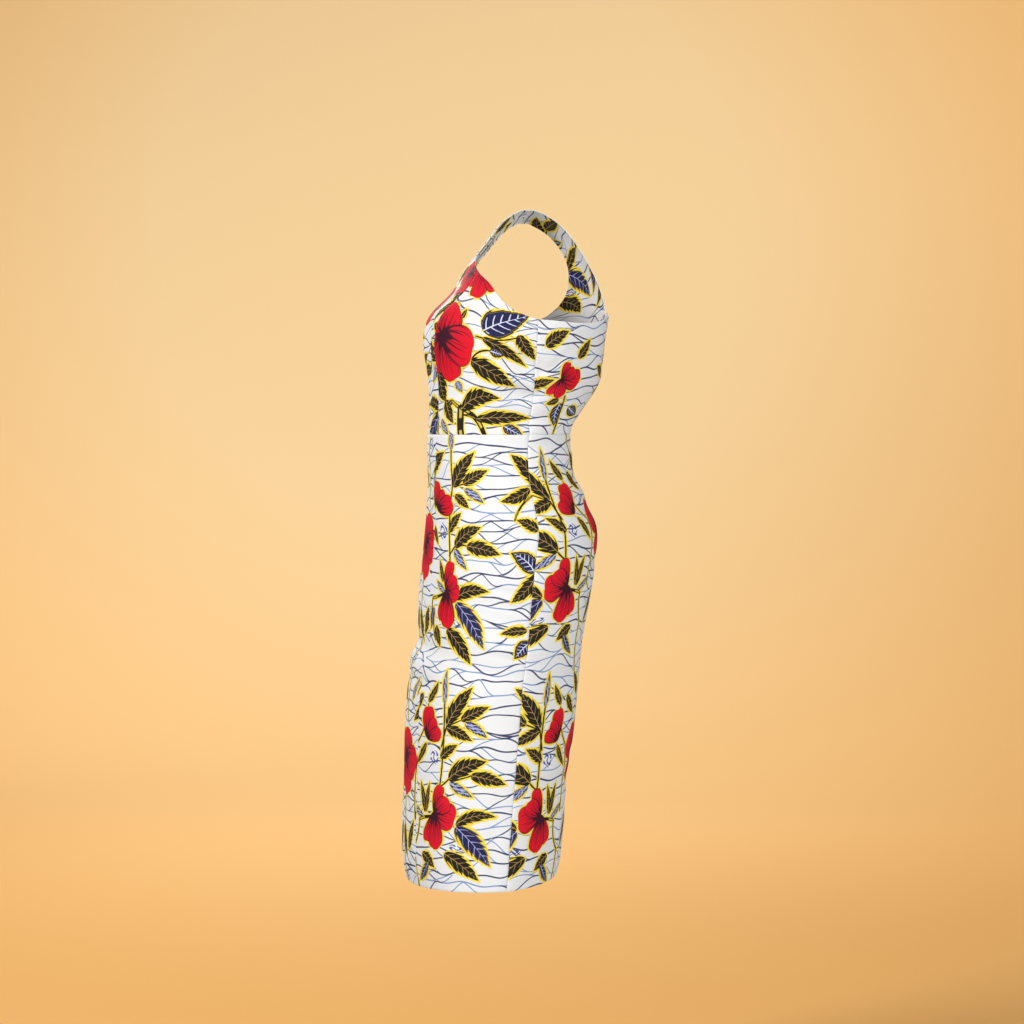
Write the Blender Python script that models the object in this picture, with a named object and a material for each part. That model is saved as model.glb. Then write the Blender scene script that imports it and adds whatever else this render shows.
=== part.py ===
"""One-shoulder fitted dress in printed cotton: a princess-seamed bodice, a waist seam, a straight skirt to
below the knee and a concealed centre-back zip. The dress keeps the hollow form that it has when worn.

Axes: +Z up, the front faces -Y and the wearer's left is +X. The origin is the inside of the cloth at the
middle of the right shoulder seam, where the wearer carries the dress. Sizes are in metres.

A place on the cloth is an angle and a level. The angle runs round the body from the centre back: 90 degrees
is the left side, 180 the centre front and 270 the right side. The level counts up the rows of SECTIONS.
"""

import math
from collections import namedtuple

import bpy
import numpy as np
from mathutils import Matrix, Vector

# ---------------------------------------------------------------- driving sizes

WALL = 0.0015  # cloth wall
SEAM_GAP = 0.0003  # between two pieces along a seam
BODY_MIDDLE = 0.104  # from the middle of the shoulder seam to the middle plane of the body
SHOULDER_SLOPE = 0.30  # fall of the shoulder line for each metre outward
SLOPE_STARTS = -0.100  # height where the sections begin to tilt with the shoulder

WAIST = -0.355  # height of the waist seam
HEM = -1.066  # height of the hem
BACK_TOP = -0.160  # height of the cloth at the centre back
NOTCH_DEPTH = 0.016  # the two backs part above this depth, where the zip slider stands
NOTCH_HALF = 0.0020  # half the width of that notch at the top

# Level sections, from the hem up. height is above the shoulder point, half_width is across the body, front
# and back are where the cloth lies along Y, and squareness is the exponent of the oval: 2 is an ellipse,
# and more is flatter at the front and back. The last row is past the shoulder line, where the front's
# curve has become the back's.
Section = namedtuple("Section", "name height half_width front back squareness")
SECTIONS = (
    Section("hem", HEM, 0.168, -0.206, 0.028, 2.1),
    Section("above hem", -1.030, 0.169, -0.212, 0.037, 2.1),
    Section("calf", -0.985, 0.169, -0.213, 0.042, 2.1),
    Section("knee", -0.900, 0.170, -0.210, 0.051, 2.1),
    Section("above knee", -0.820, 0.171, -0.208, 0.060, 2.1),
    Section("lower thigh", -0.745, 0.172, -0.202, 0.067, 2.1),
    Section("thigh", -0.680, 0.173, -0.189, 0.073, 2.1),
    Section("upper thigh", -0.620, 0.174, -0.186, 0.084, 2.15),
    Section("hip", -0.560, 0.174, -0.180, 0.093, 2.2),
    Section("seat", -0.505, 0.167, -0.175, 0.096, 2.2),
    Section("top of seat", -0.465, 0.155, -0.172, 0.079, 2.2),
    Section("high hip", -0.425, 0.140, -0.171, 0.064, 2.2),
    Section("below waist", -0.390, 0.127, -0.172, 0.058, 2.2),
    Section("waist", WAIST, 0.119, -0.171, 0.057, 2.2),
    Section("above waist", -0.320, 0.123, -0.169, 0.072, 2.2),
    Section("ribs", -0.275, 0.136, -0.167, 0.100, 2.25),
    Section("under bust", -0.240, 0.146, -0.164, 0.106, 2.3),
    Section("bust", -0.205, 0.152, -0.162, 0.109, 2.35),
    Section("armpit", -0.165, 0.151, -0.157, 0.115, 2.4),
    Section("chest", -0.128, 0.153, -0.128, 0.114, 2.5),
    Section("upper chest", -0.090, 0.160, -0.107, 0.103, 2.6),
    Section("collar bone", -0.052, 0.172, -0.071, 0.080, 2.7),
    Section("shoulder front", -0.018, 0.184, -0.038, 0.046, 2.8),
    Section("shoulder line", 0.000, 0.188, 0.000, 0.000, 2.8),
    Section("past the shoulder", -0.018, 0.184, 0.042, -0.042, 2.8),
)
SHOULDER_LEVEL = len(SECTIONS) - 2.0

# The two cups that the princess seams shape.
CUP_ACROSS = 0.078  # from the middle plane to each cup's point
CUP_HEIGHT = -0.205
CUP_RISE = 0.020  # how far a cup stands out of the sections above
CUP_REACH = (0.060, 0.062)  # its spread, across and up

# The largest folds: troughs where rise is below 0, and ridges. along and across are a fold's half length
# and half width on the cloth, and tilt turns its length up from the level, in degrees.
Fold = namedtuple("Fold", "name angle height along across tilt rise")
FOLDS = (
    Fold("trough above the front break", 176, -0.688, 0.085, 0.016, 4, -0.0050),
    Fold("front break", 172, -0.716, 0.095, 0.018, 6, 0.0040),
    Fold("left hip pull", 104, -0.640, 0.075, 0.020, 14, -0.0040),
    Fold("left thigh pull", 110, -0.722, 0.080, 0.020, 10, -0.0040),
    Fold("left thigh ridge", 108, -0.680, 0.075, 0.017, 12, 0.0030),
    Fold("right hip pull", 252, -0.650, 0.080, 0.020, -12, -0.0040),
    Fold("right thigh ridge", 250, -0.690, 0.070, 0.018, -10, 0.0030),
    Fold("left side drag, upper", 100, -0.262, 0.050, 0.014, 24, -0.0035),
    Fold("left side drag, lower", 98, -0.305, 0.045, 0.014, 18, -0.0035),
    Fold("right side drag", 262, -0.280, 0.050, 0.015, -20, -0.0035),
    Fold("small of the back, upper", 2, -0.345, 0.085, 0.016, 3, -0.0035),
    Fold("small of the back, lower", 356, -0.415, 0.095, 0.018, -4, -0.0040),
    Fold("above the seat", 0, -0.447, 0.100, 0.016, 2, 0.0030),
    Fold("behind the knee", 8, -0.900, 0.090, 0.026, -8, -0.0040),
)
GIRTH_RADIUS = 0.150  # turns a fold's angle into a length on the cloth

# Edges and seams, each a row of places from low to high: angle in degrees and height.
Place = namedtuple("Place", "angle height")
CENTRE_BACK_LEFT, CENTRE_BACK_RIGHT = 0, 360
UNDERARM = -0.176  # top of the side seams
SIDE_SEAM = (Place(77, WAIST), Place(81, -0.315), Place(87, -0.265), Place(89, UNDERARM))
SKIRT_SIDE_SEAM = (
    Place(82, HEM),
    Place(81.5, -0.800),
    Place(82, -0.680),
    Place(84.5, -0.560),
    Place(81, -0.430),
    SIDE_SEAM[0],
)
PRINCESS_LEFT = (Place(159, WAIST), Place(157, -0.290), Place(154, -0.205), Place(148, -0.098))
PRINCESS_RIGHT = (Place(201, WAIST), Place(203, -0.290), Place(206, -0.205), Place(210, -0.150))
PRINCESS_TO_SHOULDER = (PRINCESS_RIGHT[-1], Place(212, -0.100), Place(213, -0.050), Place(213.6, 0.0))
SKIRT_PRINCESS = (
    Place(154, HEM),
    Place(156, -0.800),
    Place(160, -0.560),
    Place(161, -0.430),
    PRINCESS_LEFT[0],
)
NECK_SIDE = (SIDE_SEAM[-1], Place(103, -0.158), Place(117, -0.136), Place(129, -0.117), PRINCESS_LEFT[-1])
NECK_FRONT = (
    PRINCESS_LEFT[-1],
    Place(163, -0.0865),
    Place(176, -0.0765),
    Place(187, -0.0640),
    Place(192.5, -0.0456),
    Place(197.5, -0.0200),
    Place(203.2, 0.0090),
)
NECK_BACK_LEFT = (Place(0, BACK_TOP), Place(16, -0.166), Place(34, -0.174), Place(60, -0.181), SIDE_SEAM[-1])
NECK_BACK = (
    Place(360, BACK_TOP),
    Place(350, -0.128),
    Place(341, -0.080),
    Place(337.5, -0.030),
    Place(336.8, 0.009),
)
ARMHOLE_FRONT = (
    Place(271, UNDERARM),
    Place(256, -0.168),
    Place(243, -0.145),
    Place(232, -0.115),
    Place(226.5, -0.070),
    Place(225, -0.030),
    Place(225.5, -0.009),
)
ARMHOLE_BACK = (
    Place(271, UNDERARM),
    Place(289, -0.166),
    Place(301, -0.135),
    Place(309, -0.085),
    Place(313, -0.035),
    Place(314.5, -0.009),
)
BACK_HEM_LIFT = 0.016  # the seat takes up this much length, so the hem rises to the centre back

# The sewn edges of each piece: low, high, and the start and end of its rows round the body.
SEAMS = {
    "bodice_centre_front": ("low", "high", "start", "end"),
    "bodice_side_front_left": ("low", "start", "end"),
    "bodice_side_front_right": ("low", "high", "start", "end"),
    "bodice_back_left": ("low", "start", "end"),
    "bodice_back_right": ("low", "high", "start", "end"),
    "skirt_centre_front": ("high", "start", "end"),
    "skirt_side_front_left": ("high", "start", "end"),
    "skirt_side_front_right": ("high", "start", "end"),
    "skirt_back_left": ("high", "start", "end"),
    "skirt_back_right": ("high", "start", "end"),
}

# Mesh counts: columns round each piece and rows up it.
CENTRE_COLUMNS = 8
SIDE_COLUMNS = 8
BACK_COLUMNS = 12
BODICE_ROWS = 12  # from the waist to the top of the side seam
SHOULDER_ROWS = 12  # from there to the shoulder seam
SKIRT_BANDS = ((HEM, 11), (-0.790, 11), (-0.640, 12))  # lowest height and rows; the waist ends the last

# Concealed zip
ZIP_BOTTOM = -0.545
TAPE_EDGE = 0.0031  # inner edge of a tape, from the centre back
TAPE_WIDTH = 0.0110
TAPE_THICK = 0.0010
TAPE_TOP = -0.1640
CHAIN_HALF = 0.0028
CHAIN_THICK = 0.0014
CHAIN_TOP = -0.1745
ROW_ROOM = 0.002  # a strip has no row nearer than this to its ends
SLIDER_HEIGHT = -0.1655  # the slider's neck passes through the notch here
SLIDER_BODY = (0.0056, 0.0024, 0.0098)  # across, through and up
SLIDER_GAP = 0.0006  # between the cloth's inner face and the slider's body
SLIDER_BODY_DROP = 0.0028  # the body's middle lies this far below the neck
NECK_SIZE = (0.0010, 0.0030, 0.0036)
NECK_REACH = 0.0006  # how far the neck stands out of the cloth's face, into the bridge
BRIDGE_SIZE = (0.0010, 0.0035, 0.0044)
BRIDGE_STANDS = 0.0002  # between the cloth's face and the bridge
BRIDGE_HOLE = (0.0020, 0.0020, 0.0024)
PULL_LENGTH = 0.0205
PULL_TOP = 0.00055  # from the pull's axis to its top edge
PULL_THICK = 0.0010
PULL_HALF = (0.0017, 0.0026)  # half widths at the eye and at the wide end
PULL_EYE = (0.0021, 0.0020, 0.0029)
PULL_EYE_DROP = 0.00200  # from the axis to the middle of the eye
PULL_SIDES = 28

# ---------------------------------------------------------------- the cloth's surface


def curve(values, at):
    """A smooth curve through values, read at places counted in steps between them."""
    slopes = np.gradient(values)
    low = np.clip(np.floor(at).astype(int), 0, len(values) - 2)
    t = at - low
    return (
        (1 + 2 * t) * (1 - t) ** 2 * values[low]
        + t * (1 - t) ** 2 * slopes[low]
        + t**2 * (3 - 2 * t) * values[low + 1]
        + t**2 * (t - 1) * slopes[low + 1]
    )


def read(column, level):
    """One column of SECTIONS at the given levels."""
    return curve(np.array([getattr(section, column) for section in SECTIONS]), level)


def shoulder_share(height):
    """0 below SLOPE_STARTS, rising smoothly to 1 at the shoulder line."""
    t = np.clip(1 - height / SLOPE_STARTS, 0, 1)
    return t * t * (3 - 2 * t)


def sloped(height, across):
    return height - SHOULDER_SLOPE * (np.abs(across) - BODY_MIDDLE) * shoulder_share(height)


def smooth_surface(angle, level):
    """Points of the outer face without its folds, in body axes: X from the body's middle plane."""
    half = read("half_width", level)
    front, back = read("front", level), read("back", level)
    power = read("squareness", level)
    height = read("height", level)
    sine, cosine = np.sin(angle), np.cos(angle)
    reach = (1 - np.minimum(np.abs(sine), 1) ** power) ** (1 / power)
    middle = (front + back) / 2
    across = half * sine
    away = middle + np.where(cosine > 0, back - middle, front - middle) * reach
    spread, tall = CUP_REACH
    cups = np.exp(-(((np.abs(across) - CUP_ACROSS) / spread) ** 2) - ((height - CUP_HEIGHT) / tall) ** 2)
    away -= np.where(cosine < 0, CUP_RISE * cups * reach, 0)
    return np.stack([across, away, sloped(height, across)], axis=-1)


def fold_rise(angle, height):
    """How far the folds move the cloth out at a place."""
    rise = np.zeros(np.broadcast(angle, height).shape)
    for fold in FOLDS:
        turn = angle - math.radians(fold.angle)
        along = (np.mod(turn + math.pi, 2 * math.pi) - math.pi) * GIRTH_RADIUS
        up = height - fold.height
        tilt = math.radians(fold.tilt)
        lengthwise = along * math.cos(tilt) + up * math.sin(tilt)
        crosswise = up * math.cos(tilt) - along * math.sin(tilt)
        rise += fold.rise * np.exp(-((lengthwise / fold.along) ** 2) - (crosswise / fold.across) ** 2)
    return rise


def outward(surface, angle, level):
    """Unit normals of a surface, from small steps along it."""
    step = 1e-3
    round_body = surface(angle + step, level) - surface(angle - step, level)
    upward = surface(angle, level + step) - surface(angle, level - step)
    normal = np.cross(upward, round_body)
    return normal / np.linalg.norm(normal, axis=-1, keepdims=True)


def folded_surface(angle, level):
    points = smooth_surface(angle, level)
    rise = fold_rise(angle, points[..., 2])[..., None]
    return points + rise * outward(smooth_surface, angle, level)


def cloth(places, depth=0.0):
    """World points of places (angle, level), sunk by depth below the outer face."""
    angle, level = places[..., 0], places[..., 1]
    points = folded_surface(angle, level) - depth * outward(folded_surface, angle, level)
    return points + np.array([BODY_MIDDLE, 0, WALL])


def level_at(angle, height):
    """The level whose cloth lies at this height, for one angle."""
    levels = np.linspace(0, SHOULDER_LEVEL, 1200)
    across = read("half_width", levels) * math.sin(angle)
    return np.interp(height, sloped(read("height", levels), across), levels)


# ---------------------------------------------------------------- places on the cloth


def edge(places, rows):
    """rows + 1 places, evenly along a smooth curve through the given ones."""
    angles = np.radians([place.angle for place in places])
    heights = np.array([place.height for place in places])
    dense = np.linspace(0, len(places) - 1, 40 * len(places))
    angle = curve(angles, dense)
    height = curve(heights, dense)
    step = np.hypot(np.diff(angle) * GIRTH_RADIUS, np.diff(height))
    length = np.concatenate([[0], np.cumsum(step)])
    wanted = np.linspace(0, length[-1], rows + 1)
    angle, height = np.interp(wanted, length, angle), np.interp(wanted, length, height)
    return np.array([[a, level_at(a, h)] for a, h in zip(angle, height)])


def mirrored(places):
    return tuple(Place(360 - place.angle, place.height) for place in places)


def joined(lower, upper):
    return np.concatenate([lower, upper[1:]])


def patch(start, end, columns, top=None):
    """A grid of places between two edges, which may also end at a top edge."""
    across = np.linspace(0, 1, columns + 1)[None, :, None]
    grid = start[:, None] * (1 - across) + end[:, None] * across
    if top is not None:
        up = np.linspace(0, 1, len(start))[:, None, None]
        grid = grid + up * (top[None] - grid[-1:])
    return grid


# ---------------------------------------------------------------- meshes


def seam_inset(points, seams):
    """How far each point of a grid moves in, so that seamed edges stand half a gap from the seam."""
    move = np.zeros_like(points)
    views = {
        "low": (points[0], points[1], move[0]),
        "high": (points[-1], points[-2], move[-1]),
        "start": (points[:, 0], points[:, 1], move[:, 0]),
        "end": (points[:, -1], points[:, -2], move[:, -1]),
    }
    for seam in seams:
        line, inside, target = views[seam]
        along = np.gradient(line, axis=0)
        along /= np.linalg.norm(along, axis=1, keepdims=True)
        inward = inside - line
        inward -= (inward * along).sum(axis=1, keepdims=True) * along
        target += inward / np.linalg.norm(inward, axis=1, keepdims=True) * SEAM_GAP / 2
    return move


def wall_faces(rows, columns):
    """Quads of a closed wall: an outer grid, an inner grid behind it and the rim between them."""
    number = np.arange(rows * columns).reshape(rows, columns)
    outer = np.stack([number[:-1, :-1], number[1:, :-1], number[1:, 1:], number[:-1, 1:]], axis=-1)
    inner = outer[..., ::-1] + rows * columns
    rim = np.concatenate([number[0, :-1], number[:-1, -1], number[-1, :0:-1], number[:0:-1, 0]])
    after = np.roll(rim, -1)
    sides = np.stack([rim, after, after + rows * columns, rim + rows * columns], axis=-1)
    return np.concatenate([outer.reshape(-1, 4), inner.reshape(-1, 4), sides])


def material(name, colour, roughness, metallic=0.0):
    made = bpy.data.materials.new(name)
    made.use_nodes = True
    shader = made.node_tree.nodes["Principled BSDF"]
    shader.inputs["Base Color"].default_value = (*colour, 1)
    shader.inputs["Roughness"].default_value = roughness
    shader.inputs["Metallic"].default_value = metallic
    return made


def add_object(name, points, faces, finish):
    mesh = bpy.data.meshes.new(name)
    mesh.from_pydata(points.tolist(), [], faces.tolist())
    mesh.shade_smooth()
    mesh.set_sharp_from_angle(angle=math.radians(40))
    mesh.materials.append(finish)
    made = bpy.data.objects.new(name, mesh)
    bpy.context.scene.collection.objects.link(made)
    return made


def wall(name, face, back, finish, seams=()):
    """A wall between an outer and an inner grid of points, which stand clear of the named seams."""
    move = seam_inset(face, seams)
    points = np.concatenate([(face + move).reshape(-1, 3), (back + move).reshape(-1, 3)])
    return add_object(name, points, wall_faces(*face.shape[:2]), finish)


def box(name, size, place, finish=None):
    """A box of the given size, centred at place in the slider's axes."""
    x, y, z = (side / 2 for side in size)
    signs = np.array([[i, j, k] for k in (-1, 1) for j in (-1, 1) for i in (-1, 1)])
    faces = np.array([[0, 2, 3, 1], [4, 5, 7, 6], [0, 1, 5, 4], [2, 6, 7, 3], [0, 4, 6, 2], [1, 3, 7, 5]])
    made = add_object(name, signs * (x, y, z) + np.array(place), faces, finish)
    if finish is None:
        made.hide_render = True
        made.display_type = "WIRE"
    return made


def combine(target, tool, operation):
    step = target.modifiers.new(tool.name, "BOOLEAN")
    step.operation = operation
    step.solver = "EXACT"
    step.object = tool


# ---------------------------------------------------------------- pieces


def centre_back(side):
    """The centre-back edge of one back piece: side is 1 on the left. It leans away above the notch."""
    centre = CENTRE_BACK_LEFT if side > 0 else CENTRE_BACK_RIGHT
    straight = edge((Place(centre, WAIST), Place(centre, BACK_TOP - NOTCH_DEPTH)), BODICE_ROWS - 1)
    level = level_at(math.radians(centre), BACK_TOP)
    turn = math.asin(NOTCH_HALF / read("half_width", np.array(level)))
    top = [math.radians(centre) + side * turn, level]
    return np.concatenate([straight, [top]])


def bodice_places():
    """The grid of places of each bodice piece."""
    rows, top_rows = BODICE_ROWS, SHOULDER_ROWS
    princess_left = edge(PRINCESS_LEFT, rows)
    princess_right = joined(edge(PRINCESS_RIGHT, rows), edge(PRINCESS_TO_SHOULDER, top_rows))
    side_left, side_right = edge(SIDE_SEAM, rows), edge(mirrored(SIDE_SEAM), rows)
    front_edge = joined(princess_left, edge(NECK_FRONT, top_rows))
    armhole_front = joined(side_right, edge(ARMHOLE_FRONT, top_rows))
    armhole_back = joined(side_right, edge(ARMHOLE_BACK, top_rows))
    centre_left = centre_back(1)
    centre_right = joined(centre_back(-1), edge(NECK_BACK, top_rows))
    neck_side = edge(NECK_SIDE, SIDE_COLUMNS)
    neck_back_left = edge(NECK_BACK_LEFT, BACK_COLUMNS)
    neck_back_left[0] = centre_left[-1]
    return {
        "bodice_centre_front": patch(front_edge, princess_right, CENTRE_COLUMNS),
        "bodice_side_front_left": patch(side_left, princess_left, SIDE_COLUMNS, neck_side),
        "bodice_side_front_right": patch(princess_right, armhole_front, SIDE_COLUMNS),
        "bodice_back_left": patch(centre_left, side_left, BACK_COLUMNS, neck_back_left),
        "bodice_back_right": patch(armhole_back, centre_right, BACK_COLUMNS),
    }


def skirt_edge(places):
    """A seam of the skirt, hem to waist, with the rows that SKIRT_BANDS gives."""
    angles = np.radians([place.angle for place in places])
    heights = np.array([place.height for place in places])
    stops = [low for low, _ in SKIRT_BANDS] + [WAIST]
    bands = [
        np.linspace(low, high, count, endpoint=False)
        for (low, count), high in zip(SKIRT_BANDS, stops[1:])
    ]
    rows = np.concatenate(bands + [[WAIST]])
    angle = curve(angles, np.interp(rows, heights, np.arange(len(heights))))
    lifted = rows + BACK_HEM_LIFT * np.maximum(np.cos(angle), 0) * (WAIST - rows) / (WAIST - HEM)
    return np.array([[a, level_at(a, h)] for a, h in zip(angle, lifted)])


def skirt_places():
    """The grid of places of each skirt piece."""
    princess_left = skirt_edge(SKIRT_PRINCESS)
    princess_right = skirt_edge(mirrored(SKIRT_PRINCESS))
    side_left, side_right = skirt_edge(SKIRT_SIDE_SEAM), skirt_edge(mirrored(SKIRT_SIDE_SEAM))
    centre_left, centre_right = (
        skirt_edge((Place(angle, HEM), Place(angle, WAIST)))
        for angle in (CENTRE_BACK_LEFT, CENTRE_BACK_RIGHT)
    )
    return {
        "skirt_centre_front": patch(princess_left, princess_right, CENTRE_COLUMNS),
        "skirt_side_front_left": patch(side_left, princess_left, SIDE_COLUMNS),
        "skirt_side_front_right": patch(princess_right, side_right, SIDE_COLUMNS),
        "skirt_back_left": patch(centre_left, side_left, BACK_COLUMNS),
        "skirt_back_right": patch(side_right, centre_right, BACK_COLUMNS),
    }


class BackBand:
    """The inner face of the two back pieces beside the centre back, where the zip lies."""

    def __init__(self, bodice, skirt):
        rows = BODICE_ROWS + 1
        left = joined(skirt["skirt_back_left"][:, :2], bodice["bodice_back_left"][:rows, :2])
        right = joined(skirt["skirt_back_right"][:, :-3:-1], bodice["bodice_back_right"][:rows, :-3:-1])
        self.sides = {1: left, -1: right}

    def points(self, across, depth, low, high):
        """Points at one distance from the centre back, on the flat facets between two heights."""
        edge_line, next_line = (cloth(self.sides[1 if across > 0 else -1][:, i], depth) for i in (0, 1))
        share = (BODY_MIDDLE + across - edge_line[:, 0]) / (next_line[:, 0] - edge_line[:, 0])
        line = edge_line + share[:, None] * (next_line - edge_line)
        heights = line[:, 2]
        inner = heights[(heights > low + ROW_ROOM) & (heights < high - ROW_ROOM)]
        kept = np.concatenate([[low], inner, [high]])
        return np.stack([np.interp(kept, heights, line[:, axis]) for axis in range(3)], axis=-1)

    def strip(self, across_from, across_to, depth, thick, low, high):
        """Outer and inner grids of a strip that lies on the facets, low and high are its ends."""
        sheets = []
        for sunk in (depth, depth + thick):
            lines = [self.points(across, sunk, low, high) for across in (across_from, across_to)]
            sheets.append(np.stack(lines, axis=1))
        return sheets


def zip_fastener(band, tape_finish, metal):
    behind = WALL + SEAM_GAP
    outer = TAPE_EDGE + TAPE_WIDTH
    for name, ends in (("zip_tape_left", (TAPE_EDGE, outer)), ("zip_tape_right", (-outer, -TAPE_EDGE))):
        sheets = band.strip(*ends, behind, TAPE_THICK, ZIP_BOTTOM, TAPE_TOP)
        wall(name, *sheets, tape_finish)
    sheets = band.strip(-CHAIN_HALF, CHAIN_HALF, behind, CHAIN_THICK, ZIP_BOTTOM, CHAIN_TOP)
    wall("zip_chain", *sheets, tape_finish)

    place = np.array([0.0, level_at(0.0, SLIDER_HEIGHT)])
    origin = Vector(cloth(place))
    out = Vector(outward(folded_surface, place[0], place[1]))
    across = Vector((1, 0, 0))
    up = across.cross(out)
    seat = Matrix((across, out, up)).transposed().to_4x4()
    seat.translation = origin

    back_face = -(WALL + SLIDER_GAP + SLIDER_BODY[1] / 2)
    slider = box("zip_slider", SLIDER_BODY, (0, back_face, -SLIDER_BODY_DROP), metal)
    neck = box("slider_neck", NECK_SIZE, (0, NECK_REACH - NECK_SIZE[1] / 2, 0))
    bridge_middle = BRIDGE_STANDS + BRIDGE_SIZE[1] / 2
    bridge = box("slider_bridge", BRIDGE_SIZE, (0, bridge_middle, 0))
    hole = box("bridge_hole", BRIDGE_HOLE, (0, bridge_middle, 0))
    for tool, operation in ((neck, "UNION"), (bridge, "UNION"), (hole, "DIFFERENCE")):
        combine(slider, tool, operation)
    for part in (slider, neck, bridge, hole):
        part.matrix_world = seat

    pull = pull_tab(metal)
    eye = box("pull_eye", PULL_EYE, (0, 0, -PULL_EYE_DROP))
    combine(pull, eye, "DIFFERENCE")
    axis = seat @ Vector((0, bridge_middle, 0))
    for part in (pull, eye):
        part.matrix_world = Matrix.Translation(axis)


def pull_tab(metal):
    """A flat drop-shaped tab that hangs from its axis at the origin."""
    turn = np.linspace(0, 2 * math.pi, PULL_SIDES, endpoint=False)
    middle = PULL_TOP - PULL_LENGTH / 2
    up = middle + PULL_LENGTH / 2 * np.sign(np.cos(turn)) * np.abs(np.cos(turn)) ** 0.8
    share = (PULL_TOP - up) / PULL_LENGTH
    half = PULL_HALF[0] + (PULL_HALF[1] - PULL_HALF[0]) * share
    across = half * np.sign(np.sin(turn)) * np.abs(np.sin(turn)) ** 0.45
    front = np.stack([across, np.full_like(up, PULL_THICK / 2), up], axis=-1)
    back = front * np.array([1, -1, 1])
    number = np.arange(PULL_SIDES)
    after = np.roll(number, -1)
    rim = [[a, b, b + PULL_SIDES, a + PULL_SIDES] for a, b in zip(number, after)]
    faces = rim + [number[::-1].tolist(), (number + PULL_SIDES).tolist()]
    mesh = bpy.data.meshes.new("zip_pull")
    mesh.from_pydata(np.concatenate([front, back]).tolist(), [], faces)
    mesh.materials.append(metal)
    made = bpy.data.objects.new("zip_pull", mesh)
    bpy.context.scene.collection.objects.link(made)
    return made


def main():
    for old in list(bpy.data.objects):
        bpy.data.objects.remove(old, do_unlink=True)
    print_cotton = material("print_cotton", (0.80, 0.78, 0.74), 0.75)
    zip_tape = material("zip_tape", (0.78, 0.77, 0.74), 0.85)
    nickel = material("nickel", (0.62, 0.60, 0.57), 0.32, 1.0)
    bodice, skirt = bodice_places(), skirt_places()
    for name, places in {**bodice, **skirt}.items():
        wall(name, cloth(places), cloth(places, WALL), print_cotton, SEAMS[name])
    zip_fastener(BackBand(bodice, skirt), zip_tape, nickel)


main()
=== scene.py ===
import math
from functools import reduce

import bpy
import numpy as np
from mathutils import Matrix, Vector


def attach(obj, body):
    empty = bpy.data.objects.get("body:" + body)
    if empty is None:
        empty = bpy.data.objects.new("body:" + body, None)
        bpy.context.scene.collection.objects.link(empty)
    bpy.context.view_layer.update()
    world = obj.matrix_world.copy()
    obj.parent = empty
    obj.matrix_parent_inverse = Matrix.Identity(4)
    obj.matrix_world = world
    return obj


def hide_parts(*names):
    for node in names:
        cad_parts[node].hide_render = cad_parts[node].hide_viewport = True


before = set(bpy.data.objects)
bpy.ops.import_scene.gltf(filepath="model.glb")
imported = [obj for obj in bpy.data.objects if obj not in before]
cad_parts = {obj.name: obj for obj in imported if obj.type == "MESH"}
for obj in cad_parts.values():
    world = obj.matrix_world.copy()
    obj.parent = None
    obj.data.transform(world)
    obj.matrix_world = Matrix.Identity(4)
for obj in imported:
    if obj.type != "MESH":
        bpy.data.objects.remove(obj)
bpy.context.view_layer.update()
print("loaded the frame:", len(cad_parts), "nodes")

# Helpers for meshes


def addObject(name, data):
    made = bpy.data.objects.new(name, data)
    bpy.context.scene.collection.objects.link(made)
    return made


def addMesh(name, points, faces, material, sharpFrom=None):
    mesh = bpy.data.meshes.new(name)
    mesh.from_pydata(points.reshape(-1, 3).tolist(), [], faces.tolist())
    mesh.shade_smooth()
    mesh.materials.append(material)
    if sharpFrom:
        mesh.set_sharp_from_angle(angle=math.radians(sharpFrom))
    return addObject(name, mesh)


def giveVectors(piece, label, domain, values):
    layer = piece.data.attributes.new(label, "FLOAT_VECTOR", domain)
    layer.data.foreach_set("vector", values.astype(np.float32).ravel())


# A piece's flat places, in metres, which its weave and its print follow.
def giveFlat(piece, places):
    giveVectors(piece, "cloth", "POINT", np.column_stack([places, np.zeros(len(places))]))


def finishPiece(piece, node, rides="dress"):
    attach(piece, rides)
    if node:
        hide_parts(node)


def unitVectors(vectors):
    return vectors / np.linalg.norm(vectors, axis=-1, keepdims=True)


# A wave raised to a power with its sign kept, which squares off a circle.
def blunt(wave, power):
    return np.sign(wave) * np.abs(wave) ** power


def fullTurn(count):
    return np.linspace(0, 2 * math.pi, count, endpoint=False)


# Faces from each ring of points to the next, and from the last to the first if closed.
def ringFaces(rings, sides, closed=False):
    number = np.arange(rings * sides).reshape(rings, sides)
    first, after = (number, np.roll(number, -1, axis=0)) if closed else (number[:-1], number[1:])
    quads = np.stack([first, np.roll(first, -1, 1), np.roll(after, -1, 1), after], axis=-1)
    return quads.reshape(-1, 4)


# Both faces and the rim of a wall, from grids of its outer and inner points.
def wallFaces(rows, columns):
    number = np.arange(rows * columns).reshape(rows, columns)
    outer = np.stack([number[:-1, :-1], number[1:, :-1], number[1:, 1:], number[:-1, 1:]], axis=-1)
    inner = outer[..., ::-1] + rows * columns
    rim = np.concatenate([number[0, :-1], number[:-1, -1], number[-1, :0:-1], number[:0:-1, 0]])
    after = np.roll(rim, -1)
    sides = np.stack([rim, after, after + rows * columns, rim + rows * columns], axis=-1)
    return np.concatenate([outer.reshape(-1, 4), inner.reshape(-1, 4), sides])


# Several (points, faces) as one: each set of faces starts where the last points end.
def joined(shapes):
    points = [points.reshape(-1, 3) for points, _ in shapes]
    starts = np.cumsum([0] + [len(each) for each in points[:-1]])
    faces = [faces + start for (_, faces), start in zip(shapes, starts)]
    return np.concatenate(points), np.concatenate(faces)


# Helpers for shader nodes


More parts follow.
